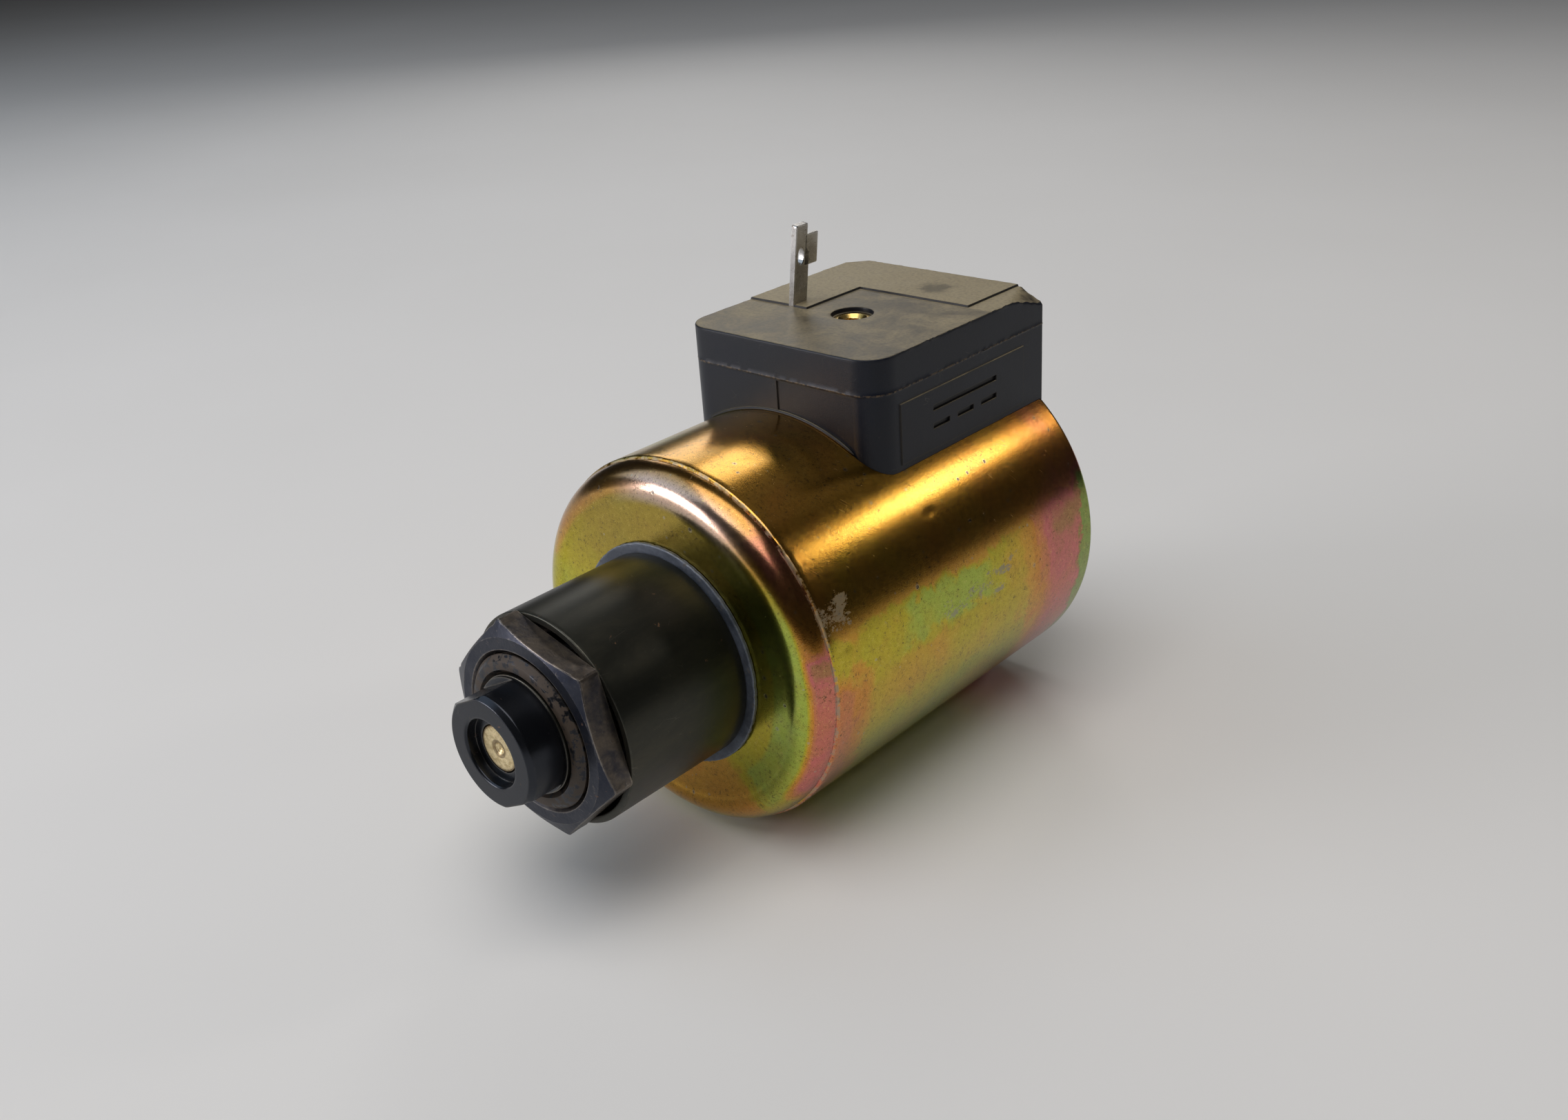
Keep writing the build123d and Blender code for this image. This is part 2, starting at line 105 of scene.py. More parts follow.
camera = add_camera(CAMERA_PLACE, AZIMUTH, ELEVATION, ROLL, LENS)
print("camera at", tuple(round(v, 4) for v in camera.location))


# %% Soft lights
def add_light(name, direction, distance, size, power, colour):
    """Square lamp standing off from the middle of the part along a direction, and facing it."""
    low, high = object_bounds()
    middle = (low + high) / 2
    lamp = bpy.data.objects.new(name, bpy.data.lights.new(name, "AREA"))
    away = Vector(direction).normalized()
    lamp.data.size, lamp.data.energy, lamp.data.color = size, power, colour
    lamp.location = middle + away * distance
    lamp.rotation_euler = away.to_track_quat("Z", "Y").to_euler()
    bpy.context.scene.collection.objects.link(lamp)


LIGHTS = {  # direction, distance and size in metres, power in watts, colour
    "window_right": ((0.48, 0.72, 0.50), 0.60, 0.07, 0.16, (1.0, 0.93, 0.84)),
    "window_top": ((0.03, 0.60, 0.80), 0.60, 0.30, 0.025, (1.0, 0.95, 0.90)),
    "window_back": ((-0.41, 0.65, 0.64), 0.60, 0.15, 0.20, (1.0, 0.96, 0.92)),
    "window_left": ((-0.68, 0.62, 0.38), 0.70, 0.22, 0.26, (1.0, 0.98, 0.95)),
    "overhead": ((0.10, -0.24, 0.97), 0.80, 0.70, 4.10, (1.0, 0.97, 0.94)),
    "front_low": ((-0.56, -0.80, 0.17), 0.70, 0.26, 1.70, (1.0, 0.95, 0.97)),
    "sky_left": ((-0.62, -0.43, 0.65), 1.00, 0.80, 2.20, (0.66, 0.82, 1.0)),
}
for name, (direction, distance, size, power, colour) in LIGHTS.items():
    add_light(name, direction, distance, size, power, colour)
world = bpy.data.worlds.new("room")
world.use_nodes = True
dim_walls = world.node_tree.nodes["Background"].inputs
dim_walls["Color"].default_value = (0.90, 0.94, 1.0, 1)
dim_walls["Strength"].default_value = 0.02
bpy.context.scene.world = world
bpy.context.scene.view_settings.view_transform = "Standard"
print(len(LIGHTS), "lamps")

# %% [markdown]
# ## How a shape becomes a mesh
# Nearly every piece here was turned, drawn or moulded, so its surface is a function of two numbers: how
# far round, and how far along its outline. Working on whole grids of points is quick and keeps each shape
# one readable formula. A piece may be several grids that share their borders: their doubled points are
# merged, collapsed faces are dropped and the normals are turned outwards before the mesh is shaded.


# %% Grids of points
def grid_faces(rows, columns, wrap_rows, wrap_columns):
    """Corner numbers of each cell of a grid, going on round to the start where it is wrapped."""
    i = np.arange(rows if wrap_rows else rows - 1)
    j = np.arange(columns if wrap_columns else columns - 1)
    i, j = np.meshgrid(i, j, indexing="ij")
    k, m = (i + 1) % rows, (j + 1) % columns
    cells = np.stack([i * columns + j, i * columns + m, k * columns + m, k * columns + j], -1)
    return cells.reshape(-1, 4)


def patch(points, wrap_rows=False, wrap_columns=False, keep=None):
    """A grid of points and its faces. keep, a true or false for each cell, can leave holes in it."""
    faces = grid_faces(*points.shape[:2], wrap_rows, wrap_columns)
    if keep is not None:
        faces = faces[keep.reshape(-1)]
    return points.reshape(-1, 3), faces


print("a 3 by 4 grid has", len(grid_faces(3, 4, False, False)), "cells, and 12 if it closes both ways")


# %% From grids to a finished piece
SMALLEST_GAP = 2e-6     # metres; points nearer than this are one point
open_edges_of = {}
print("points nearer than", SMALLEST_GAP / MM, "mm become one")


def make_piece(name, patches, body, slot, stands_for=(), crease=32.0):
    """Joins grids given in millimetres, merges what they share and shades edges sharper than crease hard."""
    starts = np.cumsum([0] + [len(points) for points, _ in patches])
    points = np.concatenate([points for points, _ in patches]) * MM
    faces = np.concatenate([faces + start for (_, faces), start in zip(patches, starts)])
    mesh = bpy.data.meshes.new(name)
    mesh.from_pydata(points, [], faces)
    shape = bmesh.new()
    shape.from_mesh(mesh)
    bmesh.ops.remove_doubles(shape, verts=shape.verts, dist=SMALLEST_GAP)
    bmesh.ops.dissolve_degenerate(shape, edges=shape.edges, dist=SMALLEST_GAP / 2)
    bmesh.ops.recalc_face_normals(shape, faces=shape.faces)
    shape.to_mesh(mesh)
    open_edges = sum(len(edge.link_faces) != 2 for edge in shape.edges)
    shape.free()
    mesh.shade_smooth()
    mesh.set_sharp_from_angle(angle=np.radians(crease))
    piece = bpy.data.objects.new(name, mesh)
    bpy.context.scene.collection.objects.link(piece)
    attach(piece, body)
    if stands_for:
        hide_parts(*stands_for)
    mesh.materials.append(FINISHES[slot])
    open_edges_of[name] = open_edges
    print(f"{name}: {len(mesh.polygons)} faces, {open_edges} open edges")


# %% Outlines
def soften(outline, radius, steps=4):
    """Rounds a closed outline. Near a corner P it follows (1-u)^2 A + 2u(1-u) P + u^2 B, with A and B
    on the corner's two sides, at most radius from it."""
    p = np.array(outline, float)

    def toward(q):
        """A point at most radius, and under half the side, from each corner towards q."""
        gap = np.maximum(np.linalg.norm(q - p, axis=1), 1e-9)
        return p + (q - p) * (np.minimum(radius, 0.45 * gap) / gap)[:, None]

    u = np.linspace(0, 1, steps + 1)[:, None, None]
    curve = (1 - u) ** 2 * toward(np.roll(p, 1, 0)) + 2 * u * (1 - u) * p + u**2 * toward(np.roll(p, -1, 0))
    return curve.transpose(1, 0, 2).reshape(-1, 2)


def refine(line, spacing, closed=False):
    """The same line with its own corners plus a point at every spacing along it."""
    p = np.array(line, float)
    if closed:
        p = np.concatenate([p, p[:1]])
    along = np.concatenate([[0], np.cumsum(np.linalg.norm(np.diff(p, axis=0), axis=1))])
    marks = np.unique(np.round(np.concatenate([along, np.arange(0, along[-1], spacing)]), 4))
    marks = marks[:-1] if closed else marks
    return np.stack([np.interp(marks, along, p[:, k]) for k in range(2)], -1)


def on_axis(radius, y, angle):
    """Points at x = r cos a, z = r sin a: the part's axis is Y."""
    return np.stack(np.broadcast_arrays(radius * np.cos(angle), y, radius * np.sin(angle)), -1)


def spin(outline, steps=192, shape=None, closed=True):
    """An outline of (radius, y) carried round the Y axis. shape(angle, radius, y) may change the radius."""
    angle = np.linspace(0, 2 * np.pi, steps, endpoint=False)[:, None]
    outline = np.array(outline, float)
    radius, y, angle = np.broadcast_arrays(outline[:, 0], outline[:, 1], angle)
    if shape:
        radius = shape(angle, radius, y)
    return patch(on_axis(radius, y, angle), wrap_rows=True, wrap_columns=closed)


def ripple(points, size, seed, waves=24):
    """Smooth random field of about -1 to 1: plane sine waves about size long, in random directions."""
    rng = np.random.default_rng(seed)
    direction = rng.normal(size=(waves, 3))
    direction *= 2 * np.pi / size / np.linalg.norm(direction, axis=1)[:, None]
    direction *= rng.uniform(0.6, 1.6, (waves, 1))
    return np.sin(points @ direction.T + rng.uniform(0, 2 * np.pi, waves)).sum(-1) * 3 / waves


def smooth_step(value, low, high):
    """0 below low and 1 above high, with a smooth S between."""
    t = np.clip((value - low) / (high - low), 0, 1)
    return t * t * (3 - 2 * t)


def reach(node):
    """Lowest and highest corner of a measured piece, in millimetres."""
    low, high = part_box(node)
    return np.array(low) / MM, np.array(high) / MM


print("can reaches", *reach("coil_can"))

# %% [markdown]
# ## Finishes
# A finish is a small network of nodes. Writing it node by node is long, so a few one-line helpers add a
# node and hand back its output. Effects that several finishes share - where a point lies on the turned
# part, worn edges, scratches, specks, fine grain - are node groups, built once with named sockets.


# %% One-line helpers for nodes
class Wiring:
    """Adds nodes to one tree. Each call returns an output that the next call can take."""

    def __init__(self, tree):
        self.tree = tree

    def add(self, kind, output=0, inputs=None, **settings):
        """A node: its settings, then each input linked if it is given an output, or else set."""
        node = self.tree.nodes.new(kind)
        for key, value in settings.items():
            setattr(node, key, value)
        for key, value in (inputs or {}).items():
            if isinstance(value, bpy.types.NodeSocket):
                self.tree.links.new(value, node.inputs[key])
            else:
                node.inputs[key].default_value = value
        return node.outputs[output]

    def math(self, operation, a, b=0.0, c=0.0):
        """One step of arithmetic on numbers."""
        return self.add("ShaderNodeMath", 0, {0: a, 1: b, 2: c}, operation=operation)

    def vector(self, operation, a, b=(0, 0, 0)):
        """Vector maths. A dot product is a number, so it comes from the node's second output."""
        output = 1 if operation == "DOT_PRODUCT" else 0
        return self.add("ShaderNodeVectorMath", output, {0: a, 1: b}, operation=operation)

    def noise(self, where, scale, detail=3.0, rough=0.55, warp=0.0):
        """Cloudy noise of 0 to 1; scale is how many of its lumps go into a unit of length."""
        sockets = {"Vector": where, "Scale": scale, "Detail": detail, "Roughness": rough, "Distortion": warp}
        return self.add("ShaderNodeTexNoise", 0, sockets)

    def band(self, value, low, high, start=0.0, end=1.0):
        """start at low and end at high, with a smooth S between, and level beyond them."""
        sockets = {"Value": value, "From Min": low, "From Max": high, "To Min": start, "To Max": end}
        return self.add("ShaderNodeMapRange", 0, sockets, interpolation_type="SMOOTHSTEP")

    def hump(self, value, low, high, soft):
        """1 between low and high, falling to 0 over soft outside them."""
        rise = self.band(value, low - soft, low)
        return self.math("MULTIPLY", rise, self.band(value, high, high + soft, 1.0, 0.0))

    def mix(self, share, a, b):
        """The colour a, with a share of the colour b."""
        a = a if isinstance(a, bpy.types.NodeSocket) else (*a, 1)
        b = b if isinstance(b, bpy.types.NodeSocket) else (*b, 1)
        return self.add("ShaderNodeMix", 2, {0: share, 6: a, 7: b}, data_type="RGBA")

    def ramp(self, value, stops):
        """Colours at places from 0 to 1, with eased changes between them."""
        node = self.tree.nodes.new("ShaderNodeValToRGB")
        node.color_ramp.interpolation = "EASE"
        elements = node.color_ramp.elements
        elements.remove(elements[1])
        elements[0].position, elements[0].color = stops[0][0], (*stops[0][1], 1)
        for place, colour in stops[1:]:
            elements.new(place).color = (*colour, 1)
        self.tree.links.new(value, node.inputs[0])
        return node.outputs[0]


def effect(name, inputs, outputs, build):
    """A node group with number or vector sockets. build(wiring, its inputs) returns its outputs by name."""
    tree = bpy.data.node_groups.new(name, "ShaderNodeTree")
    for key, kind in inputs.items():
        tree.interface.new_socket(key, in_out="INPUT", socket_type="NodeSocket" + kind)
    for key, kind in outputs.items():
        tree.interface.new_socket(key, in_out="OUTPUT", socket_type="NodeSocket" + kind)
    entry, leave = tree.nodes.new("NodeGroupInput"), tree.nodes.new("NodeGroupOutput")
    made = build(Wiring(tree), entry.outputs)
    for key in outputs:
        tree.links.new(made[key], leave.inputs[key])
    return tree


def use(wiring, group, output, inputs=None):
    """Places a shared effect in a tree and returns one of its outputs."""
    return wiring.add("ShaderNodeGroup", output, inputs, node_tree=group)


print("helpers:", ", ".join(name for name in vars(Wiring) if not name.startswith("_")))


# %% Where a point lies on the turned part
MM_PER_DEGREE = 0.39     # along the can's skin


def build_place(w, _):
    """Millimetres; the angle from +X towards +Z, whose tangent is z over x; the distance from the axis,
    the root of x squared plus z squared; and the skin unrolled flat: arc, y and distance."""
    where = w.vector("MULTIPLY", w.add("ShaderNodeTexCoord", "Object"), (1 / MM,) * 3)
    x, y, z = w.add("ShaderNodeSeparateXYZ", 0, {0: where}).node.outputs
    angle = w.math("DEGREES", w.math("ARCTAN2", z, x))
    radius = w.math("SQRT", w.math("ADD", w.math("MULTIPLY", x, x), w.math("MULTIPLY", z, z)))
    arc = w.math("MULTIPLY", angle, MM_PER_DEGREE)
    unrolled = w.add("ShaderNodeCombineXYZ", 0, {0: arc, 1: y, 2: radius})
    return {"Millimetres": where, "Angle": angle, "Radius": radius, "Unrolled": unrolled}


PLACE_OUTPUTS = {"Millimetres": "Vector", "Angle": "Float", "Radius": "Float", "Unrolled": "Vector"}
place_group = effect("place_on_part", {}, PLACE_OUTPUTS, build_place)
print("place_on_part gives", ", ".join(PLACE_OUTPUTS))


# %% Worn edges
def build_worn_edges(w, given):
    """Where the surface turns within a small radius its rounded normal leans away from the true one."""
    rounded = w.add("ShaderNodeBevel", 0, {"Radius": given["Radius"]}, samples=6)
    true = w.add("ShaderNodeNewGeometry", "Normal")
    lean = w.math("SUBTRACT", 1.0, w.vector("DOT_PRODUCT", rounded, true))
    broken = w.noise(given["Where"], 1.6, 5.0, 0.65)
    level = w.math("ADD", w.math("MULTIPLY", lean, 6.0), w.math("SUBTRACT", broken, 0.62))
    return {"Mask": w.band(level, 0.0, 0.35)}


edge_group = effect(
    "worn_edges", {"Where": "Vector", "Radius": "Float"}, {"Mask": "Float"}, build_worn_edges
)
print("worn_edges has", len(edge_group.nodes), "nodes")


# %% Scratches, specks and grain
def build_scratches(w, given):
    """Thin cell borders of a stretched cell pattern, kept only where a broad noise is high."""
    turned = w.add(
        "ShaderNodeVectorRotate", 0, {"Vector": given["Where"], "Angle": given["Turn"]},
        rotation_type="Z_AXIS",
    )
    long = w.vector("MULTIPLY", turned, (0.16, 1.7, 1.7))
    drift = w.add("ShaderNodeTexNoise", 1, {"Vector": given["Where"], "Scale": 0.12})
    bent = w.vector("ADD", long, w.vector("MULTIPLY", drift, (0.5,) * 3))
    line = w.add(
        "ShaderNodeTexVoronoi", "Distance", {"Vector": bent, "Scale": given["Scale"]},
        feature="DISTANCE_TO_EDGE",
    )
    thin = w.band(line, 0.0, 0.02, 1.0, 0.0)
    kept = w.band(w.noise(given["Where"], 0.45, 3.0), 0.60, 0.70)
    return {"Mask": w.math("MULTIPLY", thin, kept)}


def build_specks(w, given):
    """Round cells, each with its own random number. A speck's size is share less that number, times the
    spread, so most cells have none. It reaches from its cell's middle as far as its size, and has a rim."""
    cells = w.add("ShaderNodeTexVoronoi", 0, {"Vector": given["Where"], "Scale": given["Scale"]}).node
    chance = w.add("ShaderNodeSeparateColor", 0, {0: cells.outputs["Color"]})
    size = w.math("MULTIPLY", w.math("SUBTRACT", given["Share"], chance), given["Spread"])
    inside = w.math("SUBTRACT", size, cells.outputs["Distance"])
    return {"Mask": w.band(inside, 0.0, 0.05), "Rim": w.hump(inside, -0.05, 0.0, 0.03)}


def build_grain(w, given):
    """Six tenths of a fine noise plus four tenths of one about four times as coarse."""
    fine = w.noise(given["Where"], given["Scale"], 2.0, 0.6)
    coarse = w.noise(given["Where"], w.math("MULTIPLY", given["Scale"], 0.23), 3.0, 0.6)
    return {"Value": w.math("ADD", w.math("MULTIPLY", fine, 0.6), w.math("MULTIPLY", coarse, 0.4))}


scratch_group = effect(
    "scratches", {"Where": "Vector", "Scale": "Float", "Turn": "Float"}, {"Mask": "Float"}, build_scratches
)
speck_group = effect(
    "specks", {"Where": "Vector", "Scale": "Float", "Share": "Float", "Spread": "Float"},
    {"Mask": "Float", "Rim": "Float"}, build_specks,
)
grain_group = effect("grain", {"Where": "Vector", "Scale": "Float"}, {"Value": "Float"}, build_grain)
print("effects:", ", ".join(group.name for group in bpy.data.node_groups))


# %% A finish and its shader
FINISHES = {}


def finish_of(name, metallic, specular=0.5, coat=0.0, coat_rough=0.1):
    """A new material: its wiring, its shader node and where each point lies."""
    material = bpy.data.materials.new(name + "_finish")
    material.use_nodes = True
    FINISHES[name] = material
    w = Wiring(material.node_tree)
    shader = material.node_tree.nodes["Principled BSDF"]
    shader.inputs["Metallic"].default_value = metallic
    shader.inputs["Specular IOR Level"].default_value = specular
    shader.inputs["Coat Weight"].default_value = coat
    shader.inputs["Coat Roughness"].default_value = coat_rough
    place = use(w, place_group, 0).node.outputs
    return w, shader, place


def connect(w, shader, colour, rough, height=None, depth=0.02, metallic=None):
    """Feeds the shader. depth is how deep the relief is, in millimetres."""
    w.tree.links.new(colour, shader.inputs["Base Color"])
    w.tree.links.new(rough, shader.inputs["Roughness"])
    if metallic is not None:
        w.tree.links.new(metallic, shader.inputs["Metallic"])
    if height is not None:
        normal = w.add("ShaderNodeBump", 0, {"Strength": 1.0, "Distance": depth * MM, "Height": height})
        w.tree.links.new(normal, shader.inputs["Normal"])


print("nodes in one use of the place group:", len(place_group.nodes))


# %% [markdown]
# ### Yellow zinc
# The can is zinc plated and dipped in a yellow chromate. The film is so thin that its colour depends on
# its thickness: gold, yellow, green, pink and green again, like oil on water. One number, the film's
# thickness, is worked out from where a point lies and a soft noise, and a colour ramp turns it into the
# film's colour. Over that come fine grain, dark pits with pale rims, rubbed silvery places and scratches.

# %% Yellow zinc
FILM = [  # thickness from thin to thick, colour
    (0.00, (0.34, 0.49, 0.19)),
    (0.12, (0.40, 0.49, 0.07)),
    (0.24, (0.54, 0.45, 0.030)),
    (0.36, (0.67, 0.35, 0.045)),
    (0.48, (0.66, 0.28, 0.045)),
    (0.60, (0.64, 0.22, 0.10)),
    (0.72, (0.62, 0.17, 0.16)),
    (0.84, (0.42, 0.20, 0.09)),
    (0.95, (0.26, 0.36, 0.08)),
]
WANDER_DEGREES, WANDER_Y = 4.0, 1.4
RIDGE_Y = -50.36     # where the can's shoulder begins


def film_thickness(w, where, angle, radius, y):
    """A slow drift, plus what the dip left: thinner on one flank, thicker at the rear and on the shoulder.
    Each area is a range of angles times a range along y, or along the radius on the face, with soft ends,
    and adds its change. The ranges wander with a finer noise, so that no border runs straight."""
    def spot(turn, place, soft_turn, soft_place, along=None):
        """1 inside a range of angles and a range of places, soft outside both."""
        across = w.hump(angle, *turn, soft_turn)
        return w.math("MULTIPLY", across, w.hump(along or y, *place, soft_place))

    drift = w.noise(where, 0.075, 3.0, 0.5, 0.8)
    uneven = w.math("MULTIPLY_ADD", w.noise(where, 0.30, 4.0, 0.6, 0.5), 4.0, -2.0)
    angle = w.math("MULTIPLY_ADD", uneven, WANDER_DEGREES, angle)
    y = w.math("MULTIPLY_ADD", uneven, WANDER_Y, y)
    film = w.math("MULTIPLY_ADD", drift, 0.34, 0.22)
    for area, change in [
        (spot((-75, 14), (-60, 0), 5, 1), -0.12),                   # the flank that lay low in the bath
        (spot((4, 13), (-35, -24), 5, 7), -0.16),                   # its green patch
        (spot((-90, -22), (-42, -14), 12, 8), -0.10),               # paler underneath
        (spot((-60, 0), (-60, -48.5), 8, 5), 0.30),                 # pink along the ridge
        (spot((-90, 10), (-7.0, 5), 14, 9.5), 0.44),                # pink towards the rear
        (spot((16, 60), (-5, 5), 9, 10), 0.14),                     # orange at the rear
        (spot((-90, 20), (-1.4, 5), 9, 1.6), 0.30),                 # green rear rim
        (spot((118, 138), (-60, 5), 30, 4), -0.10),                 # yellow on the far side
    ]:
        film = w.math("MULTIPLY_ADD", area, change, film)
    face = w.math("SUBTRACT", w.math("MULTIPLY_ADD", drift, 0.24, 0.10), w.math("MULTIPLY", uneven, 0.02))
    for area, change in [
        (spot((-45, 50), (16.5, 20.4), 15, 0.9, radius), -0.10),    # green inner shoulder
        (spot((-32, 8), (21.5, 22.4), 12, 1.3, radius), 0.46),      # pink outer shoulder
        (spot((14, 50), (21.2, 22.4), 12, 1.0, radius), 0.26),      # orange shoulder
        (spot((50, 140), (20.2, 22.4), 28, 1.6, radius), 0.24),
        (spot((-120, -60), (12.0, 20.0), 16, 2.5, radius), 0.18),   # gold under the sleeve
    ]:
        face = w.math("MULTIPLY_ADD", area, change, face)
    on_face = w.band(w.math("ADD", y, w.math("MULTIPLY", uneven, -WANDER_Y)), RIDGE_Y + 0.08, RIDGE_Y)
    return w.add("ShaderNodeMix", 0, {0: on_face, 2: film, 3: face}, data_type="FLOAT")


print("the film has", len(FILM), "colours")


# %% What dulls the film
def dulled_film(w, place, film):
    """The film's colour after a faint mottle, painted shade that browns the upper half of the face and
    shoulder, a painted pale highlight on the shoulder, dark and bright grains, and soot. Returns the colour
    and the grain."""
    where, angle, radius, _ = place
    _, y, z = w.add("ShaderNodeSeparateXYZ", 0, {0: where}).node.outputs
    mottle = w.noise(where, 0.55, 5.0, 0.65)
    film = w.mix(w.band(mottle, 0.40, 0.72, 0.0, 0.22), film, (0.40, 0.24, 0.05))
    upper_half = w.band(w.math("DIVIDE", z, radius), 0.30, 0.90)
    # painted shade: the upper half of the face and shoulder is browned, standing in for the dark sleeve and
    # floor it mirrors
    face_shade = w.math("MULTIPLY", w.band(y, RIDGE_Y + 0.16, RIDGE_Y - 0.24), upper_half)
    film = w.mix(w.math("MULTIPLY", face_shade, 0.62), film, (0.27, 0.16, 0.040))
    # painted highlight: a pale pinkish patch high on the shoulder stands in for the soft highlight of the low
    # front lamp
    shoulder_highlight = w.math("MULTIPLY", w.hump(angle, 66.0, 92.0, 22.0), w.hump(radius, 19.2, 20.8, 1.3))
    shoulder_highlight = w.math("MULTIPLY", shoulder_highlight, w.band(y, RIDGE_Y - 0.24, RIDGE_Y - 0.84))
    film = w.mix(w.math("MULTIPLY", shoulder_highlight, 0.65), film, (0.66, 0.50, 0.46))
    grain = use(w, grain_group, "Value", {"Where": where, "Scale": 8.0})
    film = w.mix(w.band(grain, 0.48, 0.34, 0.0, 0.65), film, (0.12, 0.08, 0.02))
    film = w.mix(w.band(grain, 0.56, 0.68, 0.0, 0.45), film, (0.92, 0.70, 0.22))
    soot = w.math("MULTIPLY", w.band(w.noise(where, 2.6, 3.0, 0.7), 0.58, 0.66), w.band(mottle, 0.42, 0.60))
    return w.mix(w.math("MULTIPLY", soot, 0.75), film, (0.08, 0.055, 0.025)), grain


def rubbed_places(w, place):
    """1 where the zinc is rubbed grey: where a ragged noise is high, which it is more often in two zones;
    on the ridge; and, fainter, along the scratches."""
    where, angle, radius, unrolled = place
    y = w.add("ShaderNodeSeparateXYZ", 1, {0: where})
    long = w.vector("MULTIPLY", where, (1.0, 0.55, 1.0))
    ragged_edge = w.math("MULTIPLY", w.noise(where, 2.4, 4.0, 0.8), 0.10)
    patchy = w.math("ADD", w.noise(long, 0.42, 7.0, 0.8), ragged_edge)
    grey_zone = w.math("MULTIPLY", w.hump(angle, 3.5, 8.5, 5.0), w.hump(y, -30.0, -18.5, 4.0))
    ridge_zone = w.math("MULTIPLY", w.hump(angle, 20.0, 26.0, 4.0), w.hump(y, -50.0, -46.5, 1.6))
    zone = w.math("MAXIMUM", w.math("MULTIPLY", grey_zone, 0.95), ridge_zone)
    rubbed = w.band(w.math("ADD", patchy, w.math("MULTIPLY", zone, 0.17)), 0.725, 0.765)
    ridge = w.hump(y, RIDGE_Y - 0.12, RIDGE_Y + 0.16, 0.14)
    ridge = w.math("MULTIPLY", ridge, w.hump(radius, 22.0, 22.6, 0.1))
    ridge = w.math("MULTIPLY", ridge, w.band(w.noise(where, 0.8, 5.0, 0.7), 0.42, 0.58))
    scratches = use(w, scratch_group, "Mask", {"Where": unrolled, "Scale": 0.55, "Turn": 0.6})
    return w.math("MAXIMUM", rubbed, w.math("MAXIMUM", ridge, w.math("MULTIPLY", scratches, 0.35)))


print("the ridge lies at y =", RIDGE_Y, "mm")


# %% The zinc finish
def yellow_zinc():
    """Film, then rubbed places, then pits. It is rougher where it is rubbed; pits go inwards."""
    w, shader, place = finish_of("yellow_zinc_steel", 1.0, coat=0.25, coat_rough=0.16)
    where, angle, radius, _ = place
    y = w.add("ShaderNodeSeparateXYZ", 1, {0: where})
    film = w.ramp(film_thickness(w, where, angle, radius, y), FILM)
    film, grain = dulled_film(w, place, film)
    rubbed = rubbed_places(w, place)
    film = w.mix(w.math("MULTIPLY", rubbed, 0.70), film, (0.44, 0.40, 0.30))
    pit_sizes = {"Where": where, "Scale": 0.75, "Share": 0.20, "Spread": 1.0}
    pits = use(w, speck_group, 0, pit_sizes).node.outputs
    film = w.mix(w.math("MULTIPLY", pits["Mask"], 0.8), film, (0.12, 0.11, 0.10))
    film = w.mix(w.math("MULTIPLY", pits["Rim"], 0.4), film, (0.45, 0.42, 0.32))
    rough = w.math("MULTIPLY_ADD", grain, 0.12, 0.15)
    rough = w.math("MULTIPLY_ADD", rubbed, 0.30, rough)
    height = w.math("SUBTRACT", grain, w.math("MULTIPLY", pits["Mask"], 1.2))
    connect(w, shader, film, rough, height, 0.008)


yellow_zinc()
print("yellow zinc has", len(FINISHES["yellow_zinc_steel"].node_tree.nodes), "nodes")

# %% [markdown]
# ### Black moulding
# The connector is glass-filled nylon: nearly black, slightly blue, with a soft sheen. Handling dusts its
# top with pale brown and rubs its edges. The dust lies on what faces away from the coil, so its mask is
# the z part of the part's own normal times a noise, with more of it on the raised land, where that extra
# pale brown also paints the land's sheen. The normal comes in the part's own directions, so the dust stays
# where it is when the coil is turned. The sign's sunk floor is painted nearly black as the shade in its
# strokes. The finish and the block's mesh both need to know where the land, the seam and the engraved sign
# lie.

# %% Where things lie on the block
HALF, LENGTH, TOP, LAND = 14.7, 32.77, 30.94, 0.25
LAND_RIGHT, LAND_FRONT, ARM_RIGHT, ARM_FRONT = 11.2, -10.6, -5.4, -20.8
SEAM_Z = 26.7
SIGN_DEPTH, SIGN_START, SIGN_LENGTH, DASH = 0.3, -22.6, 12.5, 3.1
BAR_Z, DASH_Z = (22.4, 23.0), (20.2, 20.8)
print("block:", 2 * HALF, "mm wide,", LENGTH, "mm long; its sign:", SIGN_LENGTH, "mm long")


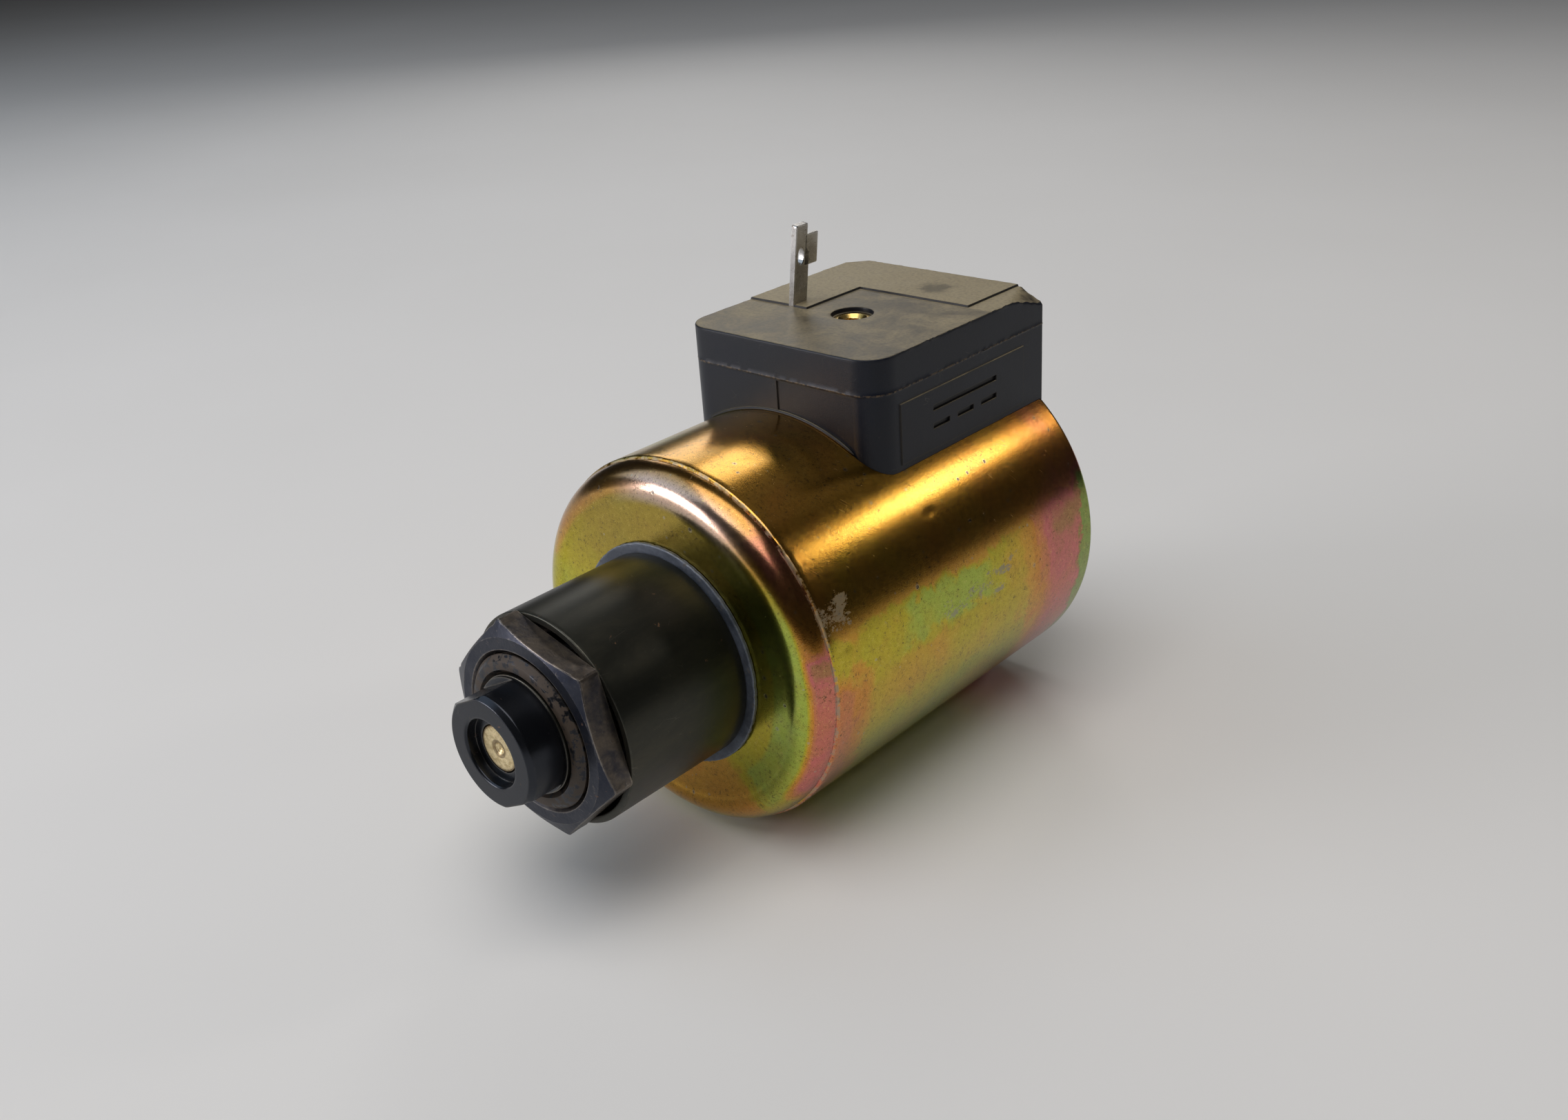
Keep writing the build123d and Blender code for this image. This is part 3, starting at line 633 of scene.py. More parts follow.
# %% Black moulding
def black_moulding():
    """Bluish black clouds; dust on the top, most on the land, where it also paints the land's sheen; a
    smudge;
    paler edges, seam and scratches; and painted shade on the sign's sunk floor, nearly black. It is rougher
    where it is dusty or rubbed."""
    w, shader, place = finish_of("black_moulding", 0.0, 0.32)
    where = place[0]
    x, y, z = w.add("ShaderNodeSeparateXYZ", 0, {0: where}).node.outputs
    up = w.add("ShaderNodeSeparateXYZ", 2, {0: w.add("ShaderNodeTexCoord", "Normal")})
    top = w.band(up, 0.75, 0.95)
    cloud = w.noise(where, 0.16, 5.0, 0.62, 0.6)
    fine = w.noise(where, 2.4, 4.0, 0.6)
    arm_side = w.band(x, ARM_RIGHT + 0.1, ARM_RIGHT - 0.2)
    arm = w.math("MULTIPLY", arm_side, w.band(y, ARM_FRONT - 0.2, ARM_FRONT + 0.2))
    land = w.math("MAXIMUM", w.band(y, LAND_FRONT - 0.4, LAND_FRONT + 0.2), arm)
    # dust, plus extra pale brown on the raised land that paints the land's sheen
    dust_and_sheen = w.math("ADD", w.math("MULTIPLY", cloud, 1.1), w.math("MULTIPLY", land, 0.42))
    dust_and_sheen = w.math("MULTIPLY", w.band(dust_and_sheen, 0.30, 0.85, 0.30, 1.0), top)
    dust_and_sheen = w.math("MULTIPLY", dust_and_sheen, w.band(fine, 0.30, 0.60, 0.70, 1.0))
    colour = w.mix(w.band(cloud, 0.3, 0.7), (0.0035, 0.006, 0.014), (0.007, 0.009, 0.015))
    colour = w.mix(w.math("MULTIPLY", dust_and_sheen, 0.92), colour, (0.34, 0.28, 0.17))
    wavy = w.math("MULTIPLY_ADD", w.noise(where, 0.5, 4.0, 0.6), 5.0, -2.5)
    smudge = w.hump(w.math("ADD", x, wavy), 2.6, 3.8, 2.2)
    smudge = w.math("MULTIPLY", smudge, w.hump(w.math("ADD", y, wavy), -7.4, -5.8, 2.0))
    colour = w.mix(w.math("MULTIPLY", smudge, 0.60), colour, (0.03, 0.027, 0.02))
    edges = use(w, edge_group, "Mask", {"Where": where, "Radius": 0.35 * MM})
    colour = w.mix(w.math("MULTIPLY", edges, 0.35), colour, (0.10, 0.085, 0.06))
    seam = w.math("MULTIPLY", w.hump(z, SEAM_Z - 0.08, SEAM_Z + 0.08, 0.07), w.band(fine, 0.40, 0.62))
    colour = w.mix(w.math("MULTIPLY", seam, 0.6), colour, (0.16, 0.11, 0.06))
    scratches = use(w, scratch_group, "Mask", {"Where": where, "Scale": 0.5, "Turn": 0.9})
    colour = w.mix(w.math("MULTIPLY", scratches, 0.30), colour, (0.13, 0.12, 0.10))
    sign_long = w.hump(y, SIGN_START - 0.1, SIGN_START + SIGN_LENGTH + 0.1, 0.1)
    sign_high = w.hump(z, DASH_Z[0] - 0.1, BAR_Z[1] + 0.1, 0.1)
    sign_deep = w.hump(x, HALF - 0.3, HALF + 0.02, 0.08)
    # painted shade: the sign's sunk floor is made nearly black and free of dust, as the shade in its strokes
    sign = w.math("MULTIPLY", w.math("MULTIPLY", sign_long, sign_high), sign_deep)
    colour = w.mix(sign, colour, (0.0015, 0.0015, 0.0020))
    rough = w.math("MULTIPLY_ADD", dust_and_sheen, 0.12, w.math("MULTIPLY_ADD", cloud, 0.16, 0.32))
    rough = w.math("MULTIPLY_ADD", edges, 0.2, rough)
    height = w.math("ADD", w.math("MULTIPLY", fine, 0.6), w.noise(where, 9.0, 2.0, 0.5))
    connect(w, shader, colour, rough, height, 0.012)


black_moulding()
print("black moulding has", len(FINISHES["black_moulding"].node_tree.nodes), "nodes")

# %% [markdown]
# ### Metals and plastics that share one recipe
# The other finishes differ in a few values only: two base colours that a cloud mixes, how rough they are,
# how fine their grain is, what shows where an edge is rubbed, and what dirt lies on them. One function
# builds them all, so each finish is a line or two of values.


# %% One recipe for the plainer finishes
def surface(
    name, metallic, dark, light, rough, grain=4.0, depth=0.012, edge=None, edge_share=0.6,
    dirt=None, dirt_level=0.62, specular=0.5, stretch=(1, 1, 1), coat=0.0, sides=None, tip=None,
):
    """Cloudy mix of two colours, grain, rubbed edges, and dirt where a noise is above its level. depth is
    the grain's, in millimetres. sides is another colour for what faces away from the part's axis. tip is a
    y, and the colour and the share of the roughness in front of it."""
    w, shader, place = finish_of(name, metallic, specular, coat)
    where = w.vector("MULTIPLY", place[0], stretch)
    cloud = w.noise(where, 0.35, 5.0, 0.6, 0.4)
    fine = use(w, grain_group, "Value", {"Where": where, "Scale": grain})
    colour = w.mix(w.band(cloud, 0.32, 0.68), dark, light)
    if sides:
        along = w.add("ShaderNodeSeparateXYZ", 1, {0: w.add("ShaderNodeNewGeometry", "True Normal")})
        outward = w.band(w.math("ABSOLUTE", along), 0.85, 0.55)
        worn_side = w.math("MULTIPLY", outward, w.band(cloud, 0.30, 0.60, 0.25, 1.0))
        colour = w.mix(worn_side, colour, sides)
    colour = w.mix(w.band(fine, 0.35, 0.65, 0.35, 0.0), colour, dark)
    roughness = w.math("MULTIPLY_ADD", cloud, 0.25 * rough, rough * 0.85)
    shine = None
    if tip:
        y = w.add("ShaderNodeSeparateXYZ", 1, {0: place[0]})
        front = w.band(y, tip[0], tip[0] - 0.4)
        colour = w.mix(front, colour, tip[1])
        roughness = w.math("MULTIPLY", roughness, w.math("MULTIPLY_ADD", front, tip[2] - 1, 1.0))
    if edge:
        worn = use(w, edge_group, "Mask", {"Where": place[0], "Radius": 0.3 * MM})
        scratches = use(w, scratch_group, "Mask", {"Where": where, "Scale": 0.7, "Turn": 0.3})
        worn = w.math("MAXIMUM", worn, w.math("MULTIPLY", scratches, 0.6))
        colour = w.mix(w.math("MULTIPLY", worn, edge_share), colour, edge)
    if dirt:
        soil = w.noise(place[0], 0.9, 6.0, 0.7)
        soil = w.band(soil, dirt_level, dirt_level + 0.06)
        colour = w.mix(w.math("MULTIPLY", soil, 0.8), colour, dirt)
        roughness = w.math("MULTIPLY_ADD", soil, 0.35, roughness)
        if metallic:
            shine = w.math("MULTIPLY_ADD", soil, -0.9, metallic)
    connect(w, shader, colour, roughness, fine, depth, shine)


# %% The plainer finishes
RUST = (0.16, 0.065, 0.02)
surface("black_oxide_steel", 0.85, (0.038, 0.039, 0.032), (0.054, 0.052, 0.040), 0.36, 3.0, 0.010,
        (0.30, 0.27, 0.22), 0.35, RUST, 0.66, stretch=(1, 0.35, 1), tip=(-74.6, (0.030, 0.033, 0.040), 0.72))
surface("worn_black_oxide", 0.80, (0.018, 0.022, 0.036), (0.040, 0.043, 0.055), 0.36, 2.2, 0.030,
        (0.45, 0.40, 0.34), 0.60, RUST, 0.66, sides=(0.135, 0.110, 0.085))
surface("tube_steel", 0.85, (0.020, 0.022, 0.028), (0.045, 0.046, 0.050), 0.30, 3.0, 0.012,
        (0.26, 0.24, 0.22), 0.25, (0.05, 0.030, 0.014), 0.44)
surface("gasket_grey", 0.4, (0.055, 0.065, 0.085), (0.13, 0.15, 0.19), 0.50, 2.2, 0.060,
        (0.45, 0.48, 0.52), 0.6, (0.10, 0.085, 0.07), 0.60)
surface("insert_brass", 1.0, (0.45, 0.29, 0.08), (0.66, 0.46, 0.15), 0.26, 3.0, 0.010,
        (0.95, 0.80, 0.40), 0.6, (0.12, 0.09, 0.05), 0.66)
surface("tinned_contact", 0.95, (0.38, 0.37, 0.36), (0.55, 0.54, 0.52), 0.28, 3.0, 0.014,
        (0.78, 0.78, 0.76), 0.6, (0.20, 0.15, 0.10), 0.60)
surface("plated_washer_steel", 1.0, (0.42, 0.32, 0.12), (0.56, 0.44, 0.18), 0.34, 3.0, 0.015,
        (0.62, 0.58, 0.48), 0.6, (0.16, 0.11, 0.06), 0.62)
surface("stainless_steel", 1.0, (0.48, 0.48, 0.47), (0.58, 0.58, 0.57), 0.22, 5.0, 0.006,
        (0.72, 0.72, 0.71), 0.5, stretch=(1, 0.3, 1))
surface("spring_steel", 1.0, (0.30, 0.30, 0.31), (0.40, 0.40, 0.41), 0.30, 4.0, 0.008, (0.6, 0.6, 0.6))
surface("soft_iron", 1.0, (0.36, 0.35, 0.34), (0.46, 0.45, 0.43), 0.32, 4.0, 0.010, (0.6, 0.6, 0.58))
surface("bearing_bronze", 1.0, (0.45, 0.28, 0.12), (0.58, 0.38, 0.18), 0.30, 4.0, 0.008, (0.7, 0.5, 0.3))
surface("enamelled_copper", 0.9, (0.42, 0.13, 0.05), (0.55, 0.20, 0.08), 0.30, 4.0, 0.020, coat=0.4)
surface("winding_tape", 0.0, (0.42, 0.34, 0.10), (0.52, 0.42, 0.14), 0.45, 2.0, 0.020)
surface("bobbin_nylon", 0.0, (0.52, 0.49, 0.40), (0.66, 0.63, 0.52), 0.42, 4.0, 0.010)
surface("seal_rubber", 0.0, (0.010, 0.010, 0.011), (0.022, 0.022, 0.023), 0.48, 6.0, 0.010, specular=0.35)
print(len(FINISHES), "finishes so far")


# %% Bronze of the override pin
PIN_FRONT = -78.1     # just behind the pin's front face


def override_bronze():
    """Turned bronze: rings from the tool, a sine of the radius, and darker brown at the dimple's edge, round
    the rim, behind the face and where a noise is high."""
    w, shader, place = finish_of("override_bronze", 0.65)
    where, radius = place["Millimetres"], place["Radius"]
    y = w.add("ShaderNodeSeparateXYZ", 1, {0: where})
    soft = w.noise(where, 1.6, 5.0, 0.7)
    rings = w.math("SINE", w.math("MULTIPLY", radius, 34.0))
    colour = w.mix(w.band(soft, 0.35, 0.65), (0.55, 0.42, 0.20), (0.90, 0.76, 0.46))
    rim = w.math("MULTIPLY", w.hump(radius, 0.72, 1.02, 0.12), w.band(y, PIN_FRONT + 0.6, PIN_FRONT + 0.2))
    # darker brown round the pin's rim, beside the plug's bore, and on all of it behind the face, inside the
    # bore
    edge = w.band(radius, 2.25, 2.60)
    deep = w.band(y, PIN_FRONT + 0.2, PIN_FRONT + 0.8)
    dirt = w.math("MAXIMUM", w.math("MULTIPLY", rim, 0.85), w.math("MAXIMUM", edge, deep))
    dirt = w.math("MAXIMUM", dirt, w.band(soft, 0.60, 0.68))
    colour = w.mix(w.math("MULTIPLY", dirt, 0.8), colour, (0.13, 0.075, 0.03))
    rough = w.math("MULTIPLY_ADD", soft, 0.25, 0.22)
    connect(w, shader, colour, rough, w.math("ADD", rings, soft), 0.006)


override_bronze()
print(len(FINISHES), "finishes")

# %% [markdown]
# Most pieces are inside, where the measured shapes are already right. Each of them keeps its own mesh and
# takes the finish that its slot in the record names.

# %% Finish the carried-over pieces
for row in frame["record"]["subparts"]:
    slots = frame["nodes"][row["node"]].data.materials
    slots.clear()
    slots.append(FINISHES[row["material_slot"]])
print(len(frame["nodes"]), "measured pieces finished")

# %% [markdown]
# ## The can
# The can is one deep-drawn steel cup: a flat face, a rounded shoulder that ends at a small ridge, a long
# cylinder, and a lip rolled in at the rear. Its outline is easy to carry round the axis, but the connector
# block needs an opening in the top. Cutting it with a boolean would leave ragged shading, so the grid is
# made to end exactly on the opening: behind the opening's front edge each row stops at the angle where the
# cylinder meets the opening's side, and the corners are rounded by letting that width shrink.

# %% The opening for the connector
OPENING_HALF, OPENING_FRONT, OPENING_ROUND = 14.75, -32.82, 3.55
LIP_INNER_R, LIP_THICKNESS, RIM_ROUND, CAN_WALL, CAN_BORE_R = 20.2, 0.6, 0.45, 1.6, 11.5
print("opening:", 2 * OPENING_HALF, "mm wide, open at the rear")


def opening_half(y):
    """Half the opening's width: full width, less a quarter circle's sagitta near its front edge."""
    dip = np.clip(OPENING_FRONT + OPENING_ROUND - y, 0, OPENING_ROUND)
    return OPENING_HALF - OPENING_ROUND + np.sqrt(OPENING_ROUND**2 - dip**2)


def opening_angle(radius, y, can_r):
    """Angle from +X to the opening's side at this radius: its cosine is half the width over the radius."""
    return np.arccos(opening_half(y) / np.clip(radius, LIP_INNER_R, can_r))


# %% How use has marked the skin
DENTS = [  # angle round the axis in degrees, y, size, depth
    (13.3, -48.0, 0.55, 0.12), (59.8, -46.9, 0.40, 0.07), (34.5, -28.6, 0.45, 0.08),
    (26.9, -14.0, 0.50, 0.07), (49.9, -34.1, 0.50, 0.06), (75.0, -44.3, 0.50, 0.06),
    (205.0, -22.0, 0.60, 0.09), (236.0, -41.0, 0.50, 0.08), (300.0, -12.0, 0.55, 0.07),
]


def marked(radius, y, angle, can_r):
    """Takes a little off the outer radius: slow waves; nicks along the ridge, where a field is above a
    third; and round dents, each its depth times e to the minus (distance over size) squared."""
    points = on_axis(radius, y, angle)
    shape = points.shape[:-1]
    flat = points.reshape(-1, 3)
    wave = 0.004 * (1 + ripple(flat, 16.0, 3)).reshape(shape)
    nick = 0.10 * np.clip(ripple(flat, 1.7, 5) - 0.35, 0, 1).reshape(shape)
    nick = nick * np.exp(-(((y - RIDGE_Y - 0.11) / 0.35) ** 2))
    loss = wave + nick
    for turn, place, size, depth in DENTS:
        across = np.radians((np.degrees(angle) - turn + 180) % 360 - 180) * can_r
        loss = loss + depth * np.exp(-(across**2 + (y - place) ** 2) / size**2)
    return radius - loss * smooth_step(radius, 21.2, 22.0)


print(len(DENTS), "dents")


# %% The can's outlines
FACE_R, FACE_Y, INNER_BEND = 18.3, -53.36, 1.8
ROW_GAP, SIDE_ROW_GAP = 0.72, 0.75


def front_outline(can_r):
    """Outline in front of the opening, (radius, y): cylinder, ridge, an arc for the shoulder, flat face,
    bore, and back inside. The arc starts square to the ridge: by Pythagoras its radius is the squared
    distance from ridge to face's border, over twice the difference of their radii."""
    inner_r, ridge_r, back_y = can_r - CAN_WALL, can_r - 0.3, FACE_Y + CAN_WALL
    shoulder_r = ((ridge_r - FACE_R) ** 2 + (RIDGE_Y - FACE_Y) ** 2) / (2 * (ridge_r - FACE_R))
    centre_r = ridge_r - shoulder_r
    sweep = np.linspace(0, np.arctan2(FACE_Y - RIDGE_Y, FACE_R - centre_r) % (2 * np.pi) - 2 * np.pi, 26)
    shoulder = np.stack([centre_r + shoulder_r * np.cos(sweep), RIDGE_Y + shoulder_r * np.sin(sweep)], -1)
    step = [(can_r, RIDGE_Y + 0.34), (can_r - 0.03, RIDGE_Y + 0.22), (can_r - 0.10, RIDGE_Y + 0.12)]
    return np.concatenate([
        refine([(can_r, OPENING_FRONT), step[0]], ROW_GAP)[:-1], step, shoulder,
        refine([(FACE_R, FACE_Y), (CAN_BORE_R + 0.15, FACE_Y)], 0.6)[1:],
        [(CAN_BORE_R, FACE_Y + 0.15), (CAN_BORE_R, back_y)],
        refine([(CAN_BORE_R + 2, back_y), (inner_r - INNER_BEND, back_y),
                (inner_r, back_y + INNER_BEND), (inner_r, OPENING_FRONT)], 4.0),
    ])


def back_outline(can_r, rear):
    """Outline beside the opening: rows close together where its corners are round, the rolled rim, the
    lip turned in, and the inner wall. Returns its parts."""
    quarter = np.linspace(0, np.pi / 2, 9)
    corner_rows = OPENING_FRONT + OPENING_ROUND * (1 - np.cos(quarter))
    last = rear - LIP_THICKNESS
    side_rows = np.append(np.arange(corner_rows[-1] + SIDE_ROW_GAP, last - 0.2, SIDE_ROW_GAP), last)
    rows = np.concatenate([corner_rows, side_rows])
    turn = quarter[::2]
    rim = np.stack([can_r - RIM_ROUND * (1 - np.cos(turn)), rear - RIM_ROUND * (1 - np.sin(turn))], -1)
    lip = [(LIP_INNER_R, rear), (LIP_INNER_R, last)]
    outer = np.stack([np.full(len(rows), can_r), rows], -1)
    inner = np.stack([np.full(len(rows), can_r - CAN_WALL), rows[::-1]], -1)
    return outer, rim, lip, inner


print("outline in front:", len(front_outline(reach("coil_can")[1][0])), "points")


# %% The can's shell
def can_patches():
    """Both outlines carried round. Under the opening's level the angle runs from one side of the opening
    round below to the other; above it, from side to side over the top, which only the front has."""
    can_r, rear = reach("coil_can")[1][:2]
    front = front_outline(can_r)
    outer, rim, lip, inner = back_outline(can_r, rear)
    back = np.concatenate([outer, rim, lip, inner])
    rows = outer[:, 1]

    def carried(outline, shares, middle, half_turn):
        """The outline at angles of middle plus a share of half a turn's width, with its marks."""
        radius, y, angle = np.broadcast_arrays(outline[:, 0], outline[:, 1], middle + shares * half_turn)
        return on_axis(marked(radius, y, angle, can_r), y, angle)

    def below(outline):
        """From one side of the opening round under the part to the other side."""
        side_angle = opening_angle(outline[:, 0], outline[:, 1], can_r)
        return carried(outline, np.linspace(-1, 1, 361)[:, None], -np.pi / 2, np.pi / 2 + side_angle)

    def above(outline):
        """From one side of the opening over the top to the other side."""
        side_angle = opening_angle(outline[:, 0], outline[:, 1], can_r)
        return carried(outline, np.linspace(-1, 1, 61)[:, None], np.pi / 2, np.pi / 2 - side_angle)

    patches = [patch(below(front)), patch(above(front)), patch(below(back)), patch(above(front[[0, -1]]))]
    side, lip_out = below(back), below(np.concatenate([outer[-1:], rim]))
    lip_in = below(np.array([inner[0]] + [lip[1]] * 3 + [lip[0]] * 2))
    for end in (0, -1):
        wall = np.stack([side[end, : len(rows)], side[end, ::-1][: len(rows)]])
        patches += [patch(wall), patch(np.stack([lip_out[end], lip_in[end]]))]
    return patches


make_piece("can_shell", can_patches(), "coil", "yellow_zinc_steel", ["coil_can"], crease=24.0)

# %% [markdown]
# ## The connector block
# The block is one black moulding. Its plan has two rounded front corners and one chamfered rear corner, so
# it can be built from rows across the plan: each row knows its left and right ends, and lines running
# front to back are clamped between them. The same rows give the loop for the walls. Lines are placed on
# both sides of every step - the raised land, the sunk panels, the engraved sign - so that the steps stay
# crisp, and heights come from one function of x and y. On the side panel stands the plain international
# sign for direct current, a bar over three dashes.

# %% The block's plan
FRONT_ROUND, REAR_CHAMFER, EDGE, ARCH_R = 3.5, 2.3, 0.24, 19.45
INSERT_X, INSERT_Y, INSERT_HOLE_R, WINDOW = 0.5, -19.26, 2.55, 3.4
SOFT = 0.07             # width of every step's slope
LINE_GAP = 0.55
PANEL_DEPTH, FRONT_PANEL, FRONT_PANEL_TOP = 0.2, (0.0, 12.3), 26.4
PANEL_RISE, SIDE_PANEL_Y, SIDE_PANEL_Z = 0.15, (-28.6, -4.2), (17.7, 25.0)
dash_gap = (SIGN_LENGTH - 3 * DASH) / 2
dash_starts = [SIGN_START + k * (DASH + dash_gap) for k in range(3)]
sign_ends = sorted(v for start in dash_starts for v in (start, start + DASH))


def lines(low, high, spacing, steps):
    """Even lines from low to high, plus a pair of lines at each step."""
    pairs = [v + s for v in steps for s in (-SOFT / 2, SOFT / 2)]
    even = [v for v in np.arange(low, high, spacing) if all(abs(v - p) > 0.15 for p in pairs)]
    return np.array(sorted(even + pairs + [high]))


across = lines(-HALF, HALF, LINE_GAP, [*FRONT_PANEL, ARM_RIGHT, LAND_RIGHT])
across = np.array(sorted([*across, INSERT_X - WINDOW, INSERT_X + WINDOW]))
straight = lines(
    FRONT_ROUND - LENGTH + 0.4, -REAR_CHAMFER - 0.3, LINE_GAP,
    [*SIDE_PANEL_Y, LAND_FRONT, ARM_FRONT, *sign_ends],
)
straight = np.array(sorted([*straight, INSERT_Y - WINDOW, INSERT_Y + WINDOW]))
print("plan:", len(across), "lines across,", len(straight), "rows where its sides are straight")


# %% The plan's rows and its border
def plan_rows(inset):
    """y, left end and right end of each row of the plan, drawn in by an inset. In front the ends follow
    quarter circles of the corners' radius less the inset; at the rear the left end follows the chamfer."""
    turn = np.linspace(0, np.pi / 2, 9)
    front_y = inset - LENGTH + (FRONT_ROUND - inset) * (1 - np.cos(turn))
    front_x = HALF - inset - (FRONT_ROUND - inset) * (1 - np.sin(turn))
    rear_y = np.linspace(-REAR_CHAMFER - (np.sqrt(2) - 1) * inset, -inset, 5)
    rear_left = rear_y - (HALF - REAR_CHAMFER - np.sqrt(2) * inset)
    side = np.full(len(straight), HALF - inset)
    y = np.concatenate([front_y, straight, rear_y])
    left = np.concatenate([-front_x, -side, rear_left])
    right = np.concatenate([front_x, side, np.full(5, HALF - inset)])
    return y, left, right


def plan_grid(inset):
    """Points of the plan: every line front to back, clamped between each row's ends."""
    y, left, right = plan_rows(inset)
    x = np.clip(across[None, :], left[:, None], right[:, None])
    return x, y[:, None] + 0 * x


def plan_loop(inset):
    """The plan's border as one closed line: front, right, rear, left."""
    x, y = plan_grid(inset)
    return tuple(np.concatenate([v[0], v[1:-1, -1], v[-1, ::-1], v[-2:0:-1, 0]]) for v in (x, y))


print("border:", len(plan_loop(0.0)[0]), "points")


# %% Heights and sinkings
SCUFF = 0.012
BREAK_DROP, BREAK_X, BREAK_Y = 1.8, 3.1, 6.5     # the broken corner's plane


def block_top(x, y):
    """Height of the top: the land is a little higher, and a rough slanting plane breaks one corner off.
    The height is the lower of the two."""
    rear_land = smooth_step(y, LAND_FRONT - SOFT / 2, LAND_FRONT + SOFT / 2)
    rear_land = rear_land * smooth_step(-x, -LAND_RIGHT - SOFT / 2, SOFT / 2 - LAND_RIGHT)
    arm = smooth_step(y, ARM_FRONT - SOFT / 2, ARM_FRONT + SOFT / 2)
    arm = arm * smooth_step(-x, -ARM_RIGHT - SOFT / 2, SOFT / 2 - ARM_RIGHT)
    points = np.stack([x, y, 0 * x], -1)
    scuffs = SCUFF * ripple(points.reshape(-1, 3), 5.0, 8).reshape(x.shape)
    rough = ripple(points.reshape(-1, 3), 1.3, 7).reshape(x.shape)
    broken = TOP - BREAK_DROP * ((x - HALF) / BREAK_X + y / BREAK_Y + 1) + 0.16 * rough
    return np.minimum(TOP + LAND * np.maximum(rear_land, arm) + scuffs - SCUFF, broken)


def between(value, low, high):
    """1 inside a range, 0 outside, with soft ends."""
    rise = smooth_step(value, low - SOFT / 2, low + SOFT / 2)
    return rise * smooth_step(-value, -high - SOFT / 2, SOFT / 2 - high)


def sunk(x, y, z):
    """How far the wall is sunk: the front panel is, the side one stands out, and the sign is cut into it."""
    under_top = smooth_step(-z, -FRONT_PANEL_TOP - SOFT / 2, SOFT / 2 - FRONT_PANEL_TOP)
    front = PANEL_DEPTH * (between(x, *FRONT_PANEL) * under_top) * (y < 0.05 - LENGTH)
    side = -PANEL_RISE * between(y, *SIDE_PANEL_Y) * between(z, *SIDE_PANEL_Z)
    bar = between(y, SIGN_START, SIGN_START + SIGN_LENGTH) * between(z, *BAR_Z)
    dashes = sum(between(y, start, start + DASH) for start in dash_starts) * between(z, *DASH_Z)
    return front + (side + SIGN_DEPTH * (bar + dashes)) * (x > HALF - 0.01)


print("highest point of the top:", round(float(block_top(*plan_grid(EDGE)).max()), 3), "mm")


# %% The block's walls and edge
def outward_of_plan():
    """Unit vectors out of the plan's border: from the border drawn in by a little to the border itself."""
    x, y = plan_loop(0.0)
    inner_x, inner_y = plan_loop(0.1)
    outward = np.stack([x - inner_x, y - inner_y], -1)
    return outward / np.maximum(np.linalg.norm(outward, axis=1), 1e-9)[:, None]


def wall_grid(outward):
    """The border at each level, from the arch up to the edge. Levels are clamped between the two, and
    each point moves out by the seam's flash and in by how far the wall is sunk there."""
    x, y = plan_loop(0.0)
    base, edge_z = np.sqrt(ARCH_R**2 - x**2), block_top(x, y) - EDGE
    steps = [*SIDE_PANEL_Z, FRONT_PANEL_TOP, *BAR_Z, *DASH_Z, SEAM_Z - 0.06, SEAM_Z + 0.06]
    levels = lines(13.0, 30.4, 1.1, steps)[:, None]
    z = np.concatenate([base[None, :], np.clip(levels, base, edge_z), edge_z[None]])
    wall_x, wall_y = x + 0 * z, y + 0 * z
    points = np.stack([wall_x, wall_y, z], -1)
    grain = ripple(points.reshape(-1, 3), 1.0, 11).reshape(z.shape)
    seam = np.exp(-(((z - SEAM_Z) / 0.07) ** 2)) * (0.05 + 0.05 * grain)
    shift = seam - sunk(wall_x, wall_y, z)
    shift[0] = 0
    return np.stack([wall_x + shift * outward[:, 0], wall_y + shift * outward[:, 1], z], -1)


def edge_grid(outward):
    """A quarter circle from wall to top, with a burr where two random fields add up to more than 0."""
    edge = []
    for turn in np.linspace(0, np.pi / 2, 6):
        row_x, row_y = plan_loop(EDGE * (1 - np.cos(turn)))
        row_z = block_top(row_x, row_y) - EDGE * (1 - np.sin(turn))
        row = np.stack([row_x, row_y, row_z], -1)
        burr = np.clip(ripple(row, 0.9, 13) + 0.5 * ripple(row, 3.0, 14), 0, 1) * np.sin(2 * turn)
        burr *= 0.5 + 1.3 * (row_x > HALF - 1)
        row[:, 2] += 0.10 * burr
        row[:, :2] += outward * 0.08 * burr[:, None]
        edge.append(row)
    return np.array(edge)


print("walls:", wall_grid(outward_of_plan()).shape[0], "levels; edge:", edge_grid(outward_of_plan()).shape[0])


# %% The block's top, arch and well
def block_patches():
    """Walls, rounded edge, the top with a square window left out for the insert's well, and the arch
    underneath, whose height is the root of the arch's radius squared less x squared."""
    outward = outward_of_plan()
    top_x, top_y = plan_grid(EDGE)
    top = np.stack([top_x, top_y, block_top(top_x, top_y)], -1)
    middle_x, middle_y = (across[1:] + across[:-1]) / 2, (top_y[1:, 0] + top_y[:-1, 0]) / 2
    window = (abs(middle_y - INSERT_Y) < WINDOW)[:, None] & (abs(middle_x - INSERT_X) < WINDOW)[None, :]
    arch_x, arch_y = plan_grid(0.0)
    arch = np.stack([arch_x, arch_y, np.sqrt(ARCH_R**2 - arch_x**2)], -1)
    return [patch(wall_grid(outward), wrap_columns=True), patch(edge_grid(outward), wrap_columns=True),
            patch(top, keep=~window), patch(arch), insert_well()]


